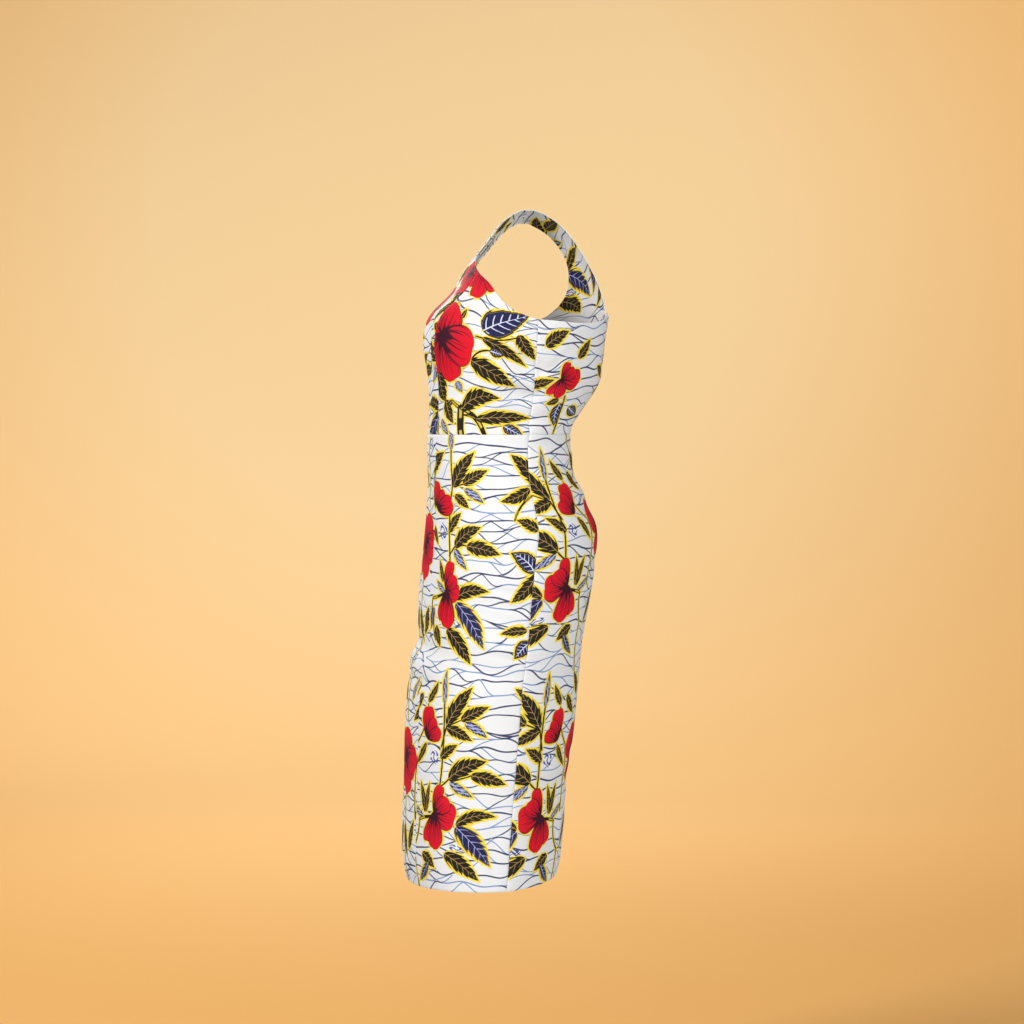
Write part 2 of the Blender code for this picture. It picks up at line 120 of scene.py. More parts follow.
# A number in a node tree. Arithmetic on it adds Math nodes.
class Term:
    def __init__(self, tree, socket):
        self.tree, self.socket = tree, socket

    def fill(self, node, values):
        for slot, value in zip(node.inputs, values):
            if isinstance(value, Term):
                self.tree.links.new(value.socket, slot)
            else:
                slot.default_value = value
        return Term(self.tree, node.outputs[0])

    def math(self, operation, *others):
        node = self.tree.nodes.new("ShaderNodeMath")
        node.operation = operation
        return self.fill(node, (self, *others))

    # low and high become start and end, with a smooth step between them
    def ramp(self, low, high, start, end):
        node = self.tree.nodes.new("ShaderNodeMapRange")
        node.interpolation_type = "SMOOTHSTEP"
        return self.fill(node, (self, low, high, start, end))

    def __add__(self, other):
        return self.math("ADD", other)

    def __sub__(self, other):
        return self.math("SUBTRACT", other)

    def __mul__(self, other):
        return self.math("MULTIPLY", other)

    def __truediv__(self, other):
        return self.math("DIVIDE", other)

    def __pow__(self, other):
        return self.math("POWER", other)

    def __abs__(self):
        return self.math("ABSOLUTE")

    __radd__, __rmul__ = __add__, __mul__

    def __rsub__(self, other):
        return self * -1.0 + other

    def most(self, other):
        return self.math("MAXIMUM", other)

    def least(self, other):
        return self.math("MINIMUM", other)

    def sine(self):
        return self.math("SINE")

    def whole(self):
        return self.math("FLOOR")

    def part(self):
        return self.math("FRACT")

    def unit(self):
        return self.most(0.0).least(1.0)

    # 1 below the edge and 0 above it, softly
    def below(self, edge, soft):
        return self.ramp(edge - soft, edge + soft, 1.0, 0.0)

    def above(self, edge, soft):
        return self.ramp(edge - soft, edge + soft, 0.0, 1.0)


# Gives a socket a term, another socket's value, or a colour.
def socketOf(tree, value, slot):
    if isinstance(value, tuple):
        slot.default_value = (*value, 1.0)
    else:
        tree.links.new(value.socket if isinstance(value, Term) else value, slot)


def mixColour(tree, share, first, second):
    node = tree.nodes.new("ShaderNodeMix")
    node.data_type = "RGBA"
    for slot, value in ((0, share), (6, first), (7, second)):
        socketOf(tree, value, node.inputs[slot])
    return node.outputs[2]


def newGroup(name, inputs, outputs):
    tree = bpy.data.node_groups.new(name, "ShaderNodeTree")
    for side, sockets in (("INPUT", inputs), ("OUTPUT", outputs)):
        for label, kind in sockets:
            tree.interface.new_socket(label, in_out=side, socket_type="NodeSocket" + kind)
    return tree, tree.nodes.new("NodeGroupInput"), tree.nodes.new("NodeGroupOutput")


def giveOut(tree, made, **values):
    for label, value in values.items():
        socketOf(tree, value, made.inputs[label])
    return tree


def useGroup(tree, group, **values):
    node = tree.nodes.new("ShaderNodeGroup")
    node.node_tree = group
    giveOut(tree, node, **values)
    return node


def splitVector(tree, socket):
    node = tree.nodes.new("ShaderNodeSeparateXYZ")
    tree.links.new(socket, node.inputs[0])
    return [Term(tree, out) for out in node.outputs]


def attribute(tree, name):
    node = tree.nodes.new("ShaderNodeAttribute")
    node.attribute_name = name
    return node.outputs["Vector"]


def noise(tree, vector, scale, detail=2.0):
    node = tree.nodes.new("ShaderNodeTexNoise")
    tree.links.new(vector, node.inputs["Vector"])
    node.inputs["Scale"].default_value = scale
    node.inputs["Detail"].default_value = detail
    return Term(tree, node.outputs["Fac"])


def bump(tree, height, strength, distance):
    node = tree.nodes.new("ShaderNodeBump")
    node.inputs["Strength"].default_value = strength
    node.inputs["Distance"].default_value = distance
    socketOf(tree, height, node.inputs["Height"])
    return node.outputs["Normal"]


# A material, its node tree and its shader, with the values that are the same all over it.
def newMaterial(name, fixed):
    made = bpy.data.materials.new(name)
    made.use_nodes = True
    shader = made.node_tree.nodes["Principled BSDF"]
    for label, value in fixed.items():
        shader.inputs[label].default_value = value
    return made, made.node_tree, shader


# Camera, lights and floor

studio = {
    "middle": (0.104, 0.0, -0.315),  # the dress's middle, at the camera's height
    "azimuth": 81.0,  # degrees round from the front, towards the wearer's left
    "distance": 5.0,
    "sensorWidth": 36.0,
    "focalWidths": 3125.0 / 1024,  # focal length over the picture's width
    "aim": (-0.0368, 0.0, -0.1632),
    "worldColour": (1.0, 0.99, 0.98, 1),
    "worldStrength": 0.41,
    "floorHeight": -1.46,
    "floorRadius": 4.2,
    "floorSides": 96,
    "coveRadius": 4.8,
    "wallHeight": 5.0,
    "paint": (0.93, 0.495, 0.155),
    "paintedLightColour": (0.93, 0.655, 0.335),  # painted light, round the middle of the painted pool of light
    "paintedLightPlace": (-0.33, -8.2, 0.0),
    "paintedLightHeight": 0.42,
    "paintedLightReach": (3.2, 9.1, 3.2),
    "paintedLightEdge": (1.0, 0.39),  # where it starts and where it is full, as shares of its reach
    "paintBounce": (0.36, 0.35, 0.33),  # what the paint throws on to the cloth
}

# place and aim from the middle (along the picture, nearer, up), width, height, watts,
# colour, spread in degrees
lights = {
    "key": ((-2.8, 2.4, 1.6), (0, 0, -0.3), 1.0, 1.4, 104, (1.0, 0.99, 0.985), 180),
    "fill": ((1.6, 2.9, -0.6), (0, 0, -0.3), 1.6, 2.4, 79, (0.985, 0.99, 1.0), 180),
    "far side": ((-1.2, -2.6, 1.5), (0, 0, -0.3), 2.0, 2.0, 38, (1.0, 0.99, 0.97), 180),
    "backdrop": ((-4.6, -1.6, 2.0), (1.5, -8.0, 1.0), 2.0, 2.0, 119, (1.0, 0.99, 0.99), 85),
    "floor light": ((0.2, -4.0, 3.2), (0.2, -4.0, -1.4), 3.0, 3.0, 14, (1.0, 0.99, 0.97), 80),
}


# A place counted from the dress's middle: along the picture, nearer the camera, up.
def fromMiddle(s, along, nearer, up):
    turn = math.radians(s["azimuth"])
    right = Vector((math.cos(turn), math.sin(turn), 0))
    toCamera = Vector((math.sin(turn), -math.cos(turn), 0))
    return Vector(s["middle"]) + right * along + toCamera * nearer + Vector((0, 0, up))


def lookFrom(place, target):
    turn = (target - place).to_track_quat("-Z", "Y")
    return Matrix.Translation(place) @ turn.to_matrix().to_4x4()


def makeCamera(s):
    lens = bpy.data.cameras.new("camera")
    lens.sensor_width = s["sensorWidth"]
    lens.lens = s["focalWidths"] * s["sensorWidth"]
    camera = addObject("camera", lens)
    camera.matrix_world = lookFrom(fromMiddle(s, 0, s["distance"], 0), fromMiddle(s, *s["aim"]))
    bpy.context.scene.camera = camera
    bpy.context.scene.view_settings.view_transform = "Standard"


def makeLights(s):
    world = bpy.data.worlds.new("studio")
    world.use_nodes = True
    sky = world.node_tree.nodes["Background"]
    sky.inputs["Color"].default_value = s["worldColour"]
    sky.inputs["Strength"].default_value = s["worldStrength"]
    bpy.context.scene.world = world
    for name, (place, aim, width, height, watts, colour, spread) in lights.items():
        light = bpy.data.lights.new(name, "AREA")
        light.shape = "RECTANGLE"
        light.size, light.size_y = width, height
        light.energy = watts
        light.color = colour
        light.spread = math.radians(spread)
        addObject(name, light).matrix_world = lookFrom(fromMiddle(s, *place), fromMiddle(s, *aim))


# The colour that the camera sees holds a painted pool of light: it is paler the nearer it is to
# the pool's middle, on an egg turned to the camera. Only a paler grey bounces on to the cloth.
def floorPaint(s):
    paint, tree, shader = newMaterial("floor_paint", {"Roughness": 0.95, "Specular IOR Level": 0.1})
    path = tree.nodes.new("ShaderNodeLightPath")
    spot = tree.nodes.new("ShaderNodeTexCoord")
    egg = tree.nodes.new("ShaderNodeMapping")
    far = tree.nodes.new("ShaderNodeVectorMath")
    # how far into the painted pool of light each point lies
    glow = tree.nodes.new("ShaderNodeMapRange")
    place = fromMiddle(s, *s["paintedLightPlace"])
    egg.vector_type = "TEXTURE"
    egg.inputs["Location"].default_value = (place.x, place.y, s["paintedLightHeight"])
    egg.inputs["Rotation"].default_value = (0, 0, math.radians(s["azimuth"]))
    egg.inputs["Scale"].default_value = s["paintedLightReach"]
    far.operation = "LENGTH"
    glow.inputs["From Min"].default_value, glow.inputs["From Max"].default_value = s["paintedLightEdge"]
    tree.links.new(spot.outputs["Object"], egg.inputs["Vector"])
    tree.links.new(egg.outputs["Vector"], far.inputs[0])
    tree.links.new(far.outputs["Value"], glow.inputs["Value"])
    # painted light: the paint turns paler towards the middle of the painted pool of light, for
    # camera rays only
    shown = mixColour(tree, glow.outputs["Result"], s["paint"], s["paintedLightColour"])
    seen = mixColour(tree, path.outputs["Is Camera Ray"], s["paintBounce"], shown)
    tree.links.new(seen, shader.inputs["Base Color"])
    return paint


# A round floor whose rim curves up into a wall: rings of points, out and up a profile.
def makeFloor(s):
    bend = np.linspace(0, math.pi / 2, 13)
    flat, cove = s["floorRadius"], s["coveRadius"]
    out = np.concatenate([[0, flat / 2], flat + cove * np.sin(bend), [flat + cove]])
    up = np.concatenate([[0, 0], cove * (1 - np.cos(bend)), [s["wallHeight"]]])
    turn = fullTurn(s["floorSides"])
    x, y = s["middle"][0] + out[:, None] * np.cos(turn), out[:, None] * np.sin(turn)
    rings = np.stack([x, y, s["floorHeight"] + np.broadcast_to(up[:, None], x.shape)], axis=-1)
    addMesh("floor", rings, ringFaces(*x.shape), floorPaint(s))


makeCamera(studio)
makeLights(studio)
makeFloor(studio)
print("camera, light and floor")

# The cloth's surface
# A place is an angle round the body from the centre back, in degrees: 90 is the
# left side, 180 the centre front; and a level, which counts up the sections.

body = {
    "middle": 0.104,  # from the shoulder point to the body's middle plane
    "wall": 0.0015,
    "shoulderSlope": 0.30,
    "slopeStarts": -0.100,
    "waist": -0.355,
    "hem": -1.066,
    "backTop": -0.160,
    "notchDepth": 0.016,
    "notchHalf": 0.0020,
    "notchStarts": 11 / 12,  # share of the way up the centre back
    "underarm": -0.176,
    "backHemLift": 0.016,
    "girthRadius": 0.150,
}

# height, half width, front, back, squareness
sections = np.array([
    (-1.066, 0.168, -0.206, 0.028, 2.1),  # hem
    (-1.030, 0.169, -0.212, 0.037, 2.1),
    (-0.985, 0.169, -0.213, 0.042, 2.1),  # calf
    (-0.900, 0.170, -0.210, 0.051, 2.1),  # knee
    (-0.820, 0.171, -0.208, 0.060, 2.1),
    (-0.745, 0.172, -0.202, 0.067, 2.1),
    (-0.680, 0.173, -0.189, 0.073, 2.1),  # thigh
    (-0.620, 0.174, -0.186, 0.084, 2.15),
    (-0.560, 0.174, -0.180, 0.093, 2.2),  # hip
    (-0.505, 0.167, -0.175, 0.096, 2.2),
    (-0.465, 0.155, -0.172, 0.079, 2.2),
    (-0.425, 0.140, -0.171, 0.064, 2.2),
    (-0.390, 0.127, -0.172, 0.058, 2.2),
    (-0.355, 0.119, -0.171, 0.057, 2.2),  # waist
    (-0.320, 0.123, -0.169, 0.072, 2.2),
    (-0.275, 0.136, -0.167, 0.100, 2.25),  # ribs
    (-0.240, 0.146, -0.164, 0.106, 2.3),
    (-0.205, 0.152, -0.162, 0.109, 2.35),  # bust
    (-0.165, 0.151, -0.157, 0.115, 2.4),
    (-0.128, 0.153, -0.128, 0.114, 2.5),  # chest
    (-0.090, 0.160, -0.107, 0.103, 2.6),
    (-0.052, 0.172, -0.071, 0.080, 2.7),
    (-0.018, 0.184, -0.038, 0.046, 2.8),
    (0.000, 0.188, 0.000, 0.000, 2.8),  # shoulder line
    (-0.018, 0.184, 0.042, -0.042, 2.8),
])
shoulderLevel = len(sections) - 2.0

cups = {"across": 0.078, "height": -0.205, "rise": 0.020, "spread": 0.060, "tall": 0.062}


# Rows of angle, height, half length, half width, tilt in degrees, rise, where lengths are
# in tenths of a millimetre.
def foldRows(rows):
    return np.array(rows) / [1, 10000, 10000, 10000, 1, 10000]


# The largest folds
folds = foldRows([
    (176, -6880, 850, 160, 4, -50),
    (172, -7160, 950, 180, 6, 40),
    (104, -6400, 750, 200, 14, -40),
    (110, -7220, 800, 200, 10, -40),
    (108, -6800, 750, 170, 12, 30),
    (252, -6500, 800, 200, -12, -40),
    (250, -6900, 700, 180, -10, 30),
    (100, -2620, 500, 140, 24, -35),
    (98, -3050, 450, 140, 18, -35),
    (262, -2800, 500, 150, -20, -35),
    (2, -3450, 850, 160, 3, -35),
    (356, -4150, 950, 180, -4, -40),
    (0, -4470, 1000, 160, 2, 30),
    (8, -9000, 900, 260, -8, -40),
])

# Smaller creases
creases = foldRows([
    (96, -6000, 500, 70, 8, -22),
    (92, -6220, 600, 80, 10, -30),
    (101, -6640, 550, 80, 16, -27),
    (95, -7000, 450, 70, 12, -19),
    (118, -6550, 450, 90, 20, 16),
    (92, -5600, 350, 80, 6, -16),
    (92, -2470, 400, 150, 32, -95),
    (92, -2930, 360, 140, 22, -90),
    (86, -3280, 320, 110, 8, -50),
    (92, -3300, 400, 60, 14, -19),
    (104, -3380, 380, 70, 8, -16),
    (84, -3720, 300, 70, 5, -16),
    (120, -3000, 300, 80, 18, -14),
    (80, -2160, 260, 80, 60, -19),
    (70, -3300, 400, 100, -14, -24),
    (62, -3720, 450, 90, -8, -22),
    (45, -3520, 500, 100, -5, -27),
    (40, -4000, 500, 100, 4, -27),
    (22, -3700, 450, 90, 6, -24),
    (338, -3780, 500, 100, -7, -27),
    (318, -3500, 500, 100, 5, -24),
    (300, -3920, 450, 90, -4, -22),
    (268, -2520, 380, 130, -30, -70),
    (271, -2920, 360, 130, -22, -70),
    (266, -3220, 400, 70, -16, -22),
    (264, -6100, 550, 80, -9, -27),
    (259, -6680, 500, 80, -15, -24),
    (266, -7060, 450, 70, -11, -19),
    (160, -6550, 500, 90, -8, -19),
    (196, -6680, 600, 90, 7, -22),
    (186, -7420, 700, 100, -4, -19),
    (150, -7480, 550, 100, 9, -16),
    (200, -4280, 450, 90, 6, -14),
    (165, -4020, 450, 90, -5, -14),
    (24, -5600, 500, 120, -14, -22),
    (336, -5800, 550, 120, 12, -22),
    (18, -8600, 600, 140, 10, -24),
    (345, -8800, 650, 140, -9, -27),
    (10, -9450, 600, 120, 6, -19),
    (60, -9050, 600, 130, -10, -19),
    (300, -8900, 600, 130, 9, -19),
    (130, -9750, 120, 600, 4, 16),
    (226, -9600, 120, 600, -3, 16),
    (35, -9850, 120, 700, 2, 19),
    (322, -9850, 120, 650, -2, 19),
    (92, -9850, 110, 600, 0, -16),
    (215, -1350, 300, 80, 62, -16),
    (222, -1600, 320, 80, 48, -16),
    (172, -980, 400, 70, -10, -14),
    (97, -2700, 360, 90, 28, 45),
    (84, -2620, 200, 50, 74, -18),
    (79, -2900, 300, 70, -30, -22),
    (76, -2450, 280, 70, -42, -18),
    (112, -3220, 360, 80, 6, -16),
    (140, -3450, 300, 70, 4, -12),
    (30, -3000, 400, 90, 24, -16),
    (330, -3050, 400, 90, -22, -18),
    (12, -2550, 340, 80, 40, -14),
    (348, -2620, 340, 80, -36, -14),
])


# A smooth curve through values, read at places counted in steps between them.
def curve(values, at):
    slopes = np.gradient(values)
    low = np.clip(np.floor(at).astype(int), 0, len(values) - 2)
    t = at - low
    return (
        (1 + 2 * t) * (1 - t) ** 2 * values[low]
        + t * (1 - t) ** 2 * slopes[low]
        + t**2 * (3 - 2 * t) * values[low + 1]
        + t**2 * (t - 1) * slopes[low + 1]
    )


# Height less a slope times the distance across from the middle, fading in over the chest.
def sloped(height, across):
    t = np.clip(1 - height / body["slopeStarts"], 0, 1)
    return height - body["shoulderSlope"] * (np.abs(across) - body["middle"]) * t * t * (3 - 2 * t)


# Oval sections: across is half width times the angle's sine, and the reach towards the
# front or back is (1 - sine^p)^(1/p). The two cups stand out of the front.
def smoothSurface(angle, level):
    height, half, front, back, power = (curve(sections[:, k], level) for k in range(5))
    sine, cosine = np.sin(angle), np.cos(angle)
    reach = (1 - np.minimum(np.abs(sine), 1) ** power) ** (1 / power)
    middle = (front + back) / 2
    across = half * sine
    away = middle + np.where(cosine > 0, back - middle, front - middle) * reach
    beside = (np.abs(across) - cups["across"]) / cups["spread"]
    cup = np.exp(-(beside**2) - ((height - cups["height"]) / cups["tall"]) ** 2)
    away = away - np.where(cosine < 0, cups["rise"] * cup * reach, 0)
    return np.stack([across, away, sloped(height, across)], axis=-1)


# Each fold is a bell across its width and along its length, turned by its tilt.
def foldRise(table, angle, height):
    rise = np.zeros(np.broadcast(angle, height).shape)
    for turnTo, at, along, across, tilt, amount in table:
        turn = np.mod(angle - math.radians(turnTo) + math.pi, 2 * math.pi) - math.pi
        x, z = turn * body["girthRadius"], height - at
        c, s = math.cos(math.radians(tilt)), math.sin(math.radians(tilt))
        rise += amount * np.exp(-(((x * c + z * s) / along) ** 2) - ((z * c - x * s) / across) ** 2)
    return rise


# The smooth surface's normal, from small steps round and up it.
def outward(angle, level, step=1e-3):
    sideways = smoothSurface(angle + step, level) - smoothSurface(angle - step, level)
    upward = smoothSurface(angle, level + step) - smoothSurface(angle, level - step)
    return unitVectors(np.cross(upward, sideways))


# The worn cloth: the smooth surface moved out by its folds and creases, and in by a depth.
def creasedSurface(angle, level, depth=0.0):
    points = smoothSurface(angle, level)
    rise = foldRise(folds, angle, points[..., 2]) + foldRise(creases, angle, points[..., 2])
    points = points + (rise - depth)[..., None] * outward(angle, level)
    return points + [body["middle"], 0, body["wall"]]


# The level whose cloth lies at a height, for whole arrays of angles and heights.
def levelAt(angle, height):
    levels = np.linspace(0, shoulderLevel, 600)
    across = curve(sections[:, 1], levels)[None] * np.sin(angle)[:, None]
    heights = sloped(curve(sections[:, 0], levels)[None], across)
    low = np.clip((heights < height[:, None]).sum(axis=1) - 1, 0, len(levels) - 2)
    each = np.arange(len(angle))
    part = (height - heights[each, low]) / (heights[each, low + 1] - heights[each, low])
    return levels[low] + np.clip(part, 0, 1) * (levels[1] - levels[0])


# Places at shares of the length of a smooth curve through (angle, height) rows.
def edgeAt(rows, shares):
    rows = np.array(rows, float)
    dense = np.linspace(0, len(rows) - 1, 40 * len(rows))
    angle, height = curve(np.radians(rows[:, 0]), dense), curve(rows[:, 1], dense)
    step = np.hypot(np.diff(angle) * body["girthRadius"], np.diff(height))
    length = np.concatenate([[0], np.cumsum(step)])
    wanted = shares * length[-1]
    angle, height = np.interp(wanted, length, angle), np.interp(wanted, length, height)
    return np.stack([angle, levelAt(angle, height)], axis=-1)


# The same along a lower edge and then an upper one, for shares from 0 to 2.
def edgeAlong(lower, upper, shares):
    places = edgeAt(lower, np.clip(shares, 0, 1))
    above = shares > 1
    places[above] = edgeAt(upper, shares[above] - 1)
    return places


def mirrored(rows):
    return [(360 - angle, height) for angle, height in rows]


# Seams and edges, from the bottom up or from the side seam on: angle, height
sideSeam = [(77, body["waist"]), (81, -0.315), (87, -0.265), (89, body["underarm"])]
skirtSide = [
    (82, body["hem"]), (81.5, -0.800), (82, -0.680), (84.5, -0.560), (81, -0.430), sideSeam[0],
]
princessLeft = [(159, body["waist"]), (157, -0.290), (154, -0.205), (148, -0.098)]
princessRight = [(201, body["waist"]), (203, -0.290), (206, -0.205), (210, -0.150)]
princessTop = [princessRight[-1], (212, -0.100), (213, -0.050), (213.6, 0.0)]
skirtPrincess = [
    (154, body["hem"]), (156, -0.800), (160, -0.560), (161, -0.430), princessLeft[0],
]
neckSide = [sideSeam[-1], (103, -0.158), (117, -0.136), (129, -0.117), princessLeft[-1]]
neckFront = [
    princessLeft[-1], (163, -0.0865), (176, -0.0765), (187, -0.0640),
    (192.5, -0.0456), (197.5, -0.0200), (203.2, 0.0090),
]
neckBackLeft = [(0, body["backTop"]), (16, -0.166), (34, -0.174), (60, -0.181), sideSeam[-1]]
neckBack = [(360, body["backTop"]), (350, -0.128), (341, -0.080), (337.5, -0.030), (336.8, 0.009)]
armholeFront = [
    (271, body["underarm"]), (256, -0.168), (243, -0.145), (232, -0.115),
    (226.5, -0.070), (225, -0.030), (225.5, -0.009),
]
armholeBack = [
    (271, body["underarm"]), (289, -0.166), (301, -0.135), (309, -0.085),
    (313, -0.035), (314.5, -0.009),
]
centreBackLeft = [(0, body["hem"]), (0, body["waist"])]
centreBackRight = [(360, body["waist"]), (360, body["backTop"])]


# The centre-back edge of one back piece, which leans away above the zip slider.
def centreBack(centre, side, shares):
    starts, top = body["notchStarts"], body["backTop"]
    height = np.interp(shares, [0, starts, 1], [body["waist"], top - body["notchDepth"], top])
    level = levelAt(np.full_like(height, math.radians(centre)), height)
    lean = np.arcsin(body["notchHalf"] / curve(sections[:, 1], level[-1:]))
    lean = lean * np.clip((shares - starts) / (1 - starts), 0, 1)
    return np.stack([math.radians(centre) + side * lean, level], axis=-1)


# A seam of the skirt, for shares from the hem to the waist. The hem rises at the back.
def skirtEdge(rows, shares):
    rows = np.array(rows, float)
    heights = body["hem"] + shares * (body["waist"] - body["hem"])
    angle = curve(np.radians(rows[:, 0]), np.interp(heights, rows[:, 1], np.arange(len(rows))))
    lifted = heights + body["backHemLift"] * np.maximum(np.cos(angle), 0) * (1 - shares)
    return np.stack([angle, levelAt(angle, lifted)], axis=-1)


# The cut pieces

cloth = {
    "step": 0.0031,  # size of a quad
    "edgeSteps": (0.0, 0.0007, 0.0014, 0.0022, 0.0034),  # closer rows beside an edge
    "evenFrom": 0.0052,
    "thick": 0.0009,
    "sharpFrom": 50,  # degrees
    "seamGap": 0.00012,
    "seamDip": 0.0010,
    "seamDipWide": 0.0017,
    "waistDipWide": 0.0024,  # where the zip crosses the waist seam
    "pucker": 0.00035,
    "puckerPitch": 0.0125,
    "puckerReach": (0.0022, 0.0085),  # from where to where beside the seam
    "puckerDrift": (1.3, 61),  # uneven spacing along the seam
    "puckerSwell": (37, 1),  # uneven depth along it
    "edgeRoll": 0.0008,
    "edgeRollWide": 0.0012,
    # from the folded edge up to its stitches, and how far they pull in
    "hem": (0.0095, 0.0005),
    "turned": (0.0065, 0.00025),
    "stitchesWide": 0.0013,
}


# Shares from 0 to 1 along a length in metres, with a few closer ones at each end.
def spread(length):
    near, even = np.array(cloth["edgeSteps"]), cloth["evenFrom"]
    count = max(int((length - 2 * even) / cloth["step"]), 4)
    middle = np.linspace(even, length - even, count + 1)
    return np.concatenate([near, middle, length - near[::-1]]) / length


# Straight from a start edge to an end edge, and bent so that its last row is the top edge.
def patch(start, end, across, shares=None, top=None):
    grid = start[:, None] * (1 - across)[None, :, None] + end[:, None] * across[None, :, None]
    if top is not None:
        grid = grid + shares[:, None, None] * (top[None] - grid[-1:])
    return grid


lowerRows = spread(0.185)
bodiceRows = np.concatenate([lowerRows, 1 + lowerRows[1:]])
skirtRows = spread(0.711)
frontColumns, sideColumns, backColumns = spread(0.150), spread(0.150), spread(0.200)
skirtFrontColumns, skirtSideColumns, skirtBackColumns = spread(0.130), spread(0.200), spread(0.215)


# name: grid of places, then how its lower and upper edges end
def cutPieces():
    princessL = edgeAt(princessLeft, lowerRows)
    princessR = edgeAlong(princessRight, princessTop, bodiceRows)
    sideL = edgeAt(sideSeam, lowerRows)
    centreL = centreBack(0, 1, lowerRows)
    centreR = edgeAlong(centreBackRight, neckBack, bodiceRows)
    below = bodiceRows <= 1
    centreR[below] = centreBack(360, -1, bodiceRows[below])
    # the back neckline's first stretch runs out from where the notch ends
    lean = centreR[below][-1] - edgeAt(neckBack, np.zeros(1))[0]
    notch = 1 - body["notchStarts"]
    centreR[~below] += lean * np.clip(1 - (bodiceRows[~below] - 1) / notch, 0, 1)[:, None]
    frontL = edgeAlong(princessLeft, neckFront, bodiceRows)
    frontR = edgeAlong(mirrored(sideSeam), armholeFront, bodiceRows)
    backR = edgeAlong(mirrored(sideSeam), armholeBack, bodiceRows)
    neckL, backTopL = edgeAt(neckSide, sideColumns), edgeAt(neckBackLeft, backColumns)
    made = {
        "bodice_centre_front": (patch(frontL, princessR, frontColumns), "seam", "seam"),
        "bodice_side_front_left": (
            patch(sideL, princessL, sideColumns, lowerRows, neckL), "seam", "turned",
        ),
        "bodice_side_front_right": (patch(princessR, frontR, sideColumns), "seam", "seam"),
        "bodice_back_left": (
            patch(centreL, sideL, backColumns, lowerRows, backTopL), "seam", "turned",
        ),
        "bodice_back_right": (patch(backR, centreR, backColumns), "seam", "seam"),
    }
    for name, start, end, columns in (
        ("centre_front", skirtPrincess, mirrored(skirtPrincess), skirtFrontColumns),
        ("side_front_left", skirtSide, skirtPrincess, skirtSideColumns),
        ("side_front_right", mirrored(skirtPrincess), mirrored(skirtSide), skirtSideColumns),
        ("back_left", centreBackLeft, skirtSide, skirtBackColumns),
        ("back_right", mirrored(skirtSide), mirrored(centreBackLeft), skirtBackColumns),
    ):
        grid = patch(skirtEdge(start, skirtRows), skirtEdge(end, skirtRows), columns)
        made["skirt_" + name] = (grid, "hem", "seam")
    return made


# Arc length along one axis of a grid of points.
def arcLength(points, axis):
    step = np.linalg.norm(np.diff(points, axis=axis), axis=-1)
    return np.concatenate([np.zeros_like(np.take(step, [0], axis)), np.cumsum(step, axis)], axis)


def bell(away, wide):
    return np.exp(-((away / wide) ** 2))


# How far the cloth sinks beside an edge, from each point's distance to it and its place
# along it: a groove and puckers at a seam, and a roll and a row of stitches at a fold.
def edgeSink(kind, away, along):
    if kind == "seam":
        groove = cloth["seamDip"] * bell(away, cloth["seamDipWide"])
        clear, reach = cloth["puckerReach"]
        drift, swell = cloth["puckerDrift"], cloth["puckerSwell"]
        phase = 2 * math.pi * along / cloth["puckerPitch"] + drift[0] * np.sin(along * drift[1])
        deep = bell(away, reach) * (1 - bell(away, clear))
        deep = deep * (0.5 + 0.5 * np.sin(along * swell[0] + swell[1]))
        return groove + cloth["pucker"] * deep * np.sin(phase)
    crease, dip = cloth[kind]
    roll = cloth["edgeRoll"] * bell(away, cloth["edgeRollWide"])
    return roll + dip * bell(away - crease, cloth["stitchesWide"])


# A piece's points, normals and flat places. The flat places are lengths along each row
# from the middle column, and up the middle column.
def clothPoints(places, low, high):
    points = creasedSurface(places[..., 0], places[..., 1])
    across, up = arcLength(points, 1), arcLength(points, 0)
    normal = unitVectors(np.cross(np.gradient(points, axis=0), np.gradient(points, axis=1)))
    sink = edgeSink("seam", across, up) + edgeSink("seam", across[:, -1:] - across, up)
    sink = sink + edgeSink(low, up, across) + edgeSink(high, up[-1:] - up, across)
    middle = across.shape[1] // 2
    middleUp = np.broadcast_to(up[:, middle, None], up.shape)
    flat = np.stack([across - across[:, middle, None], middleUp], axis=-1)
    return points - sink[..., None] * normal, normal, flat


# The print
# Places on a piece are flat ones, across and up. A motif runs from its base to its tip.


# Rows of kind, base, tip and half width in tenths of a millimetre, and the bend to its left
# in hundredths of its length.
def motifRows(rows):
    return [(kind, *(size / 10000 for size in sizes), bend / 100) for kind, *sizes, bend in rows]


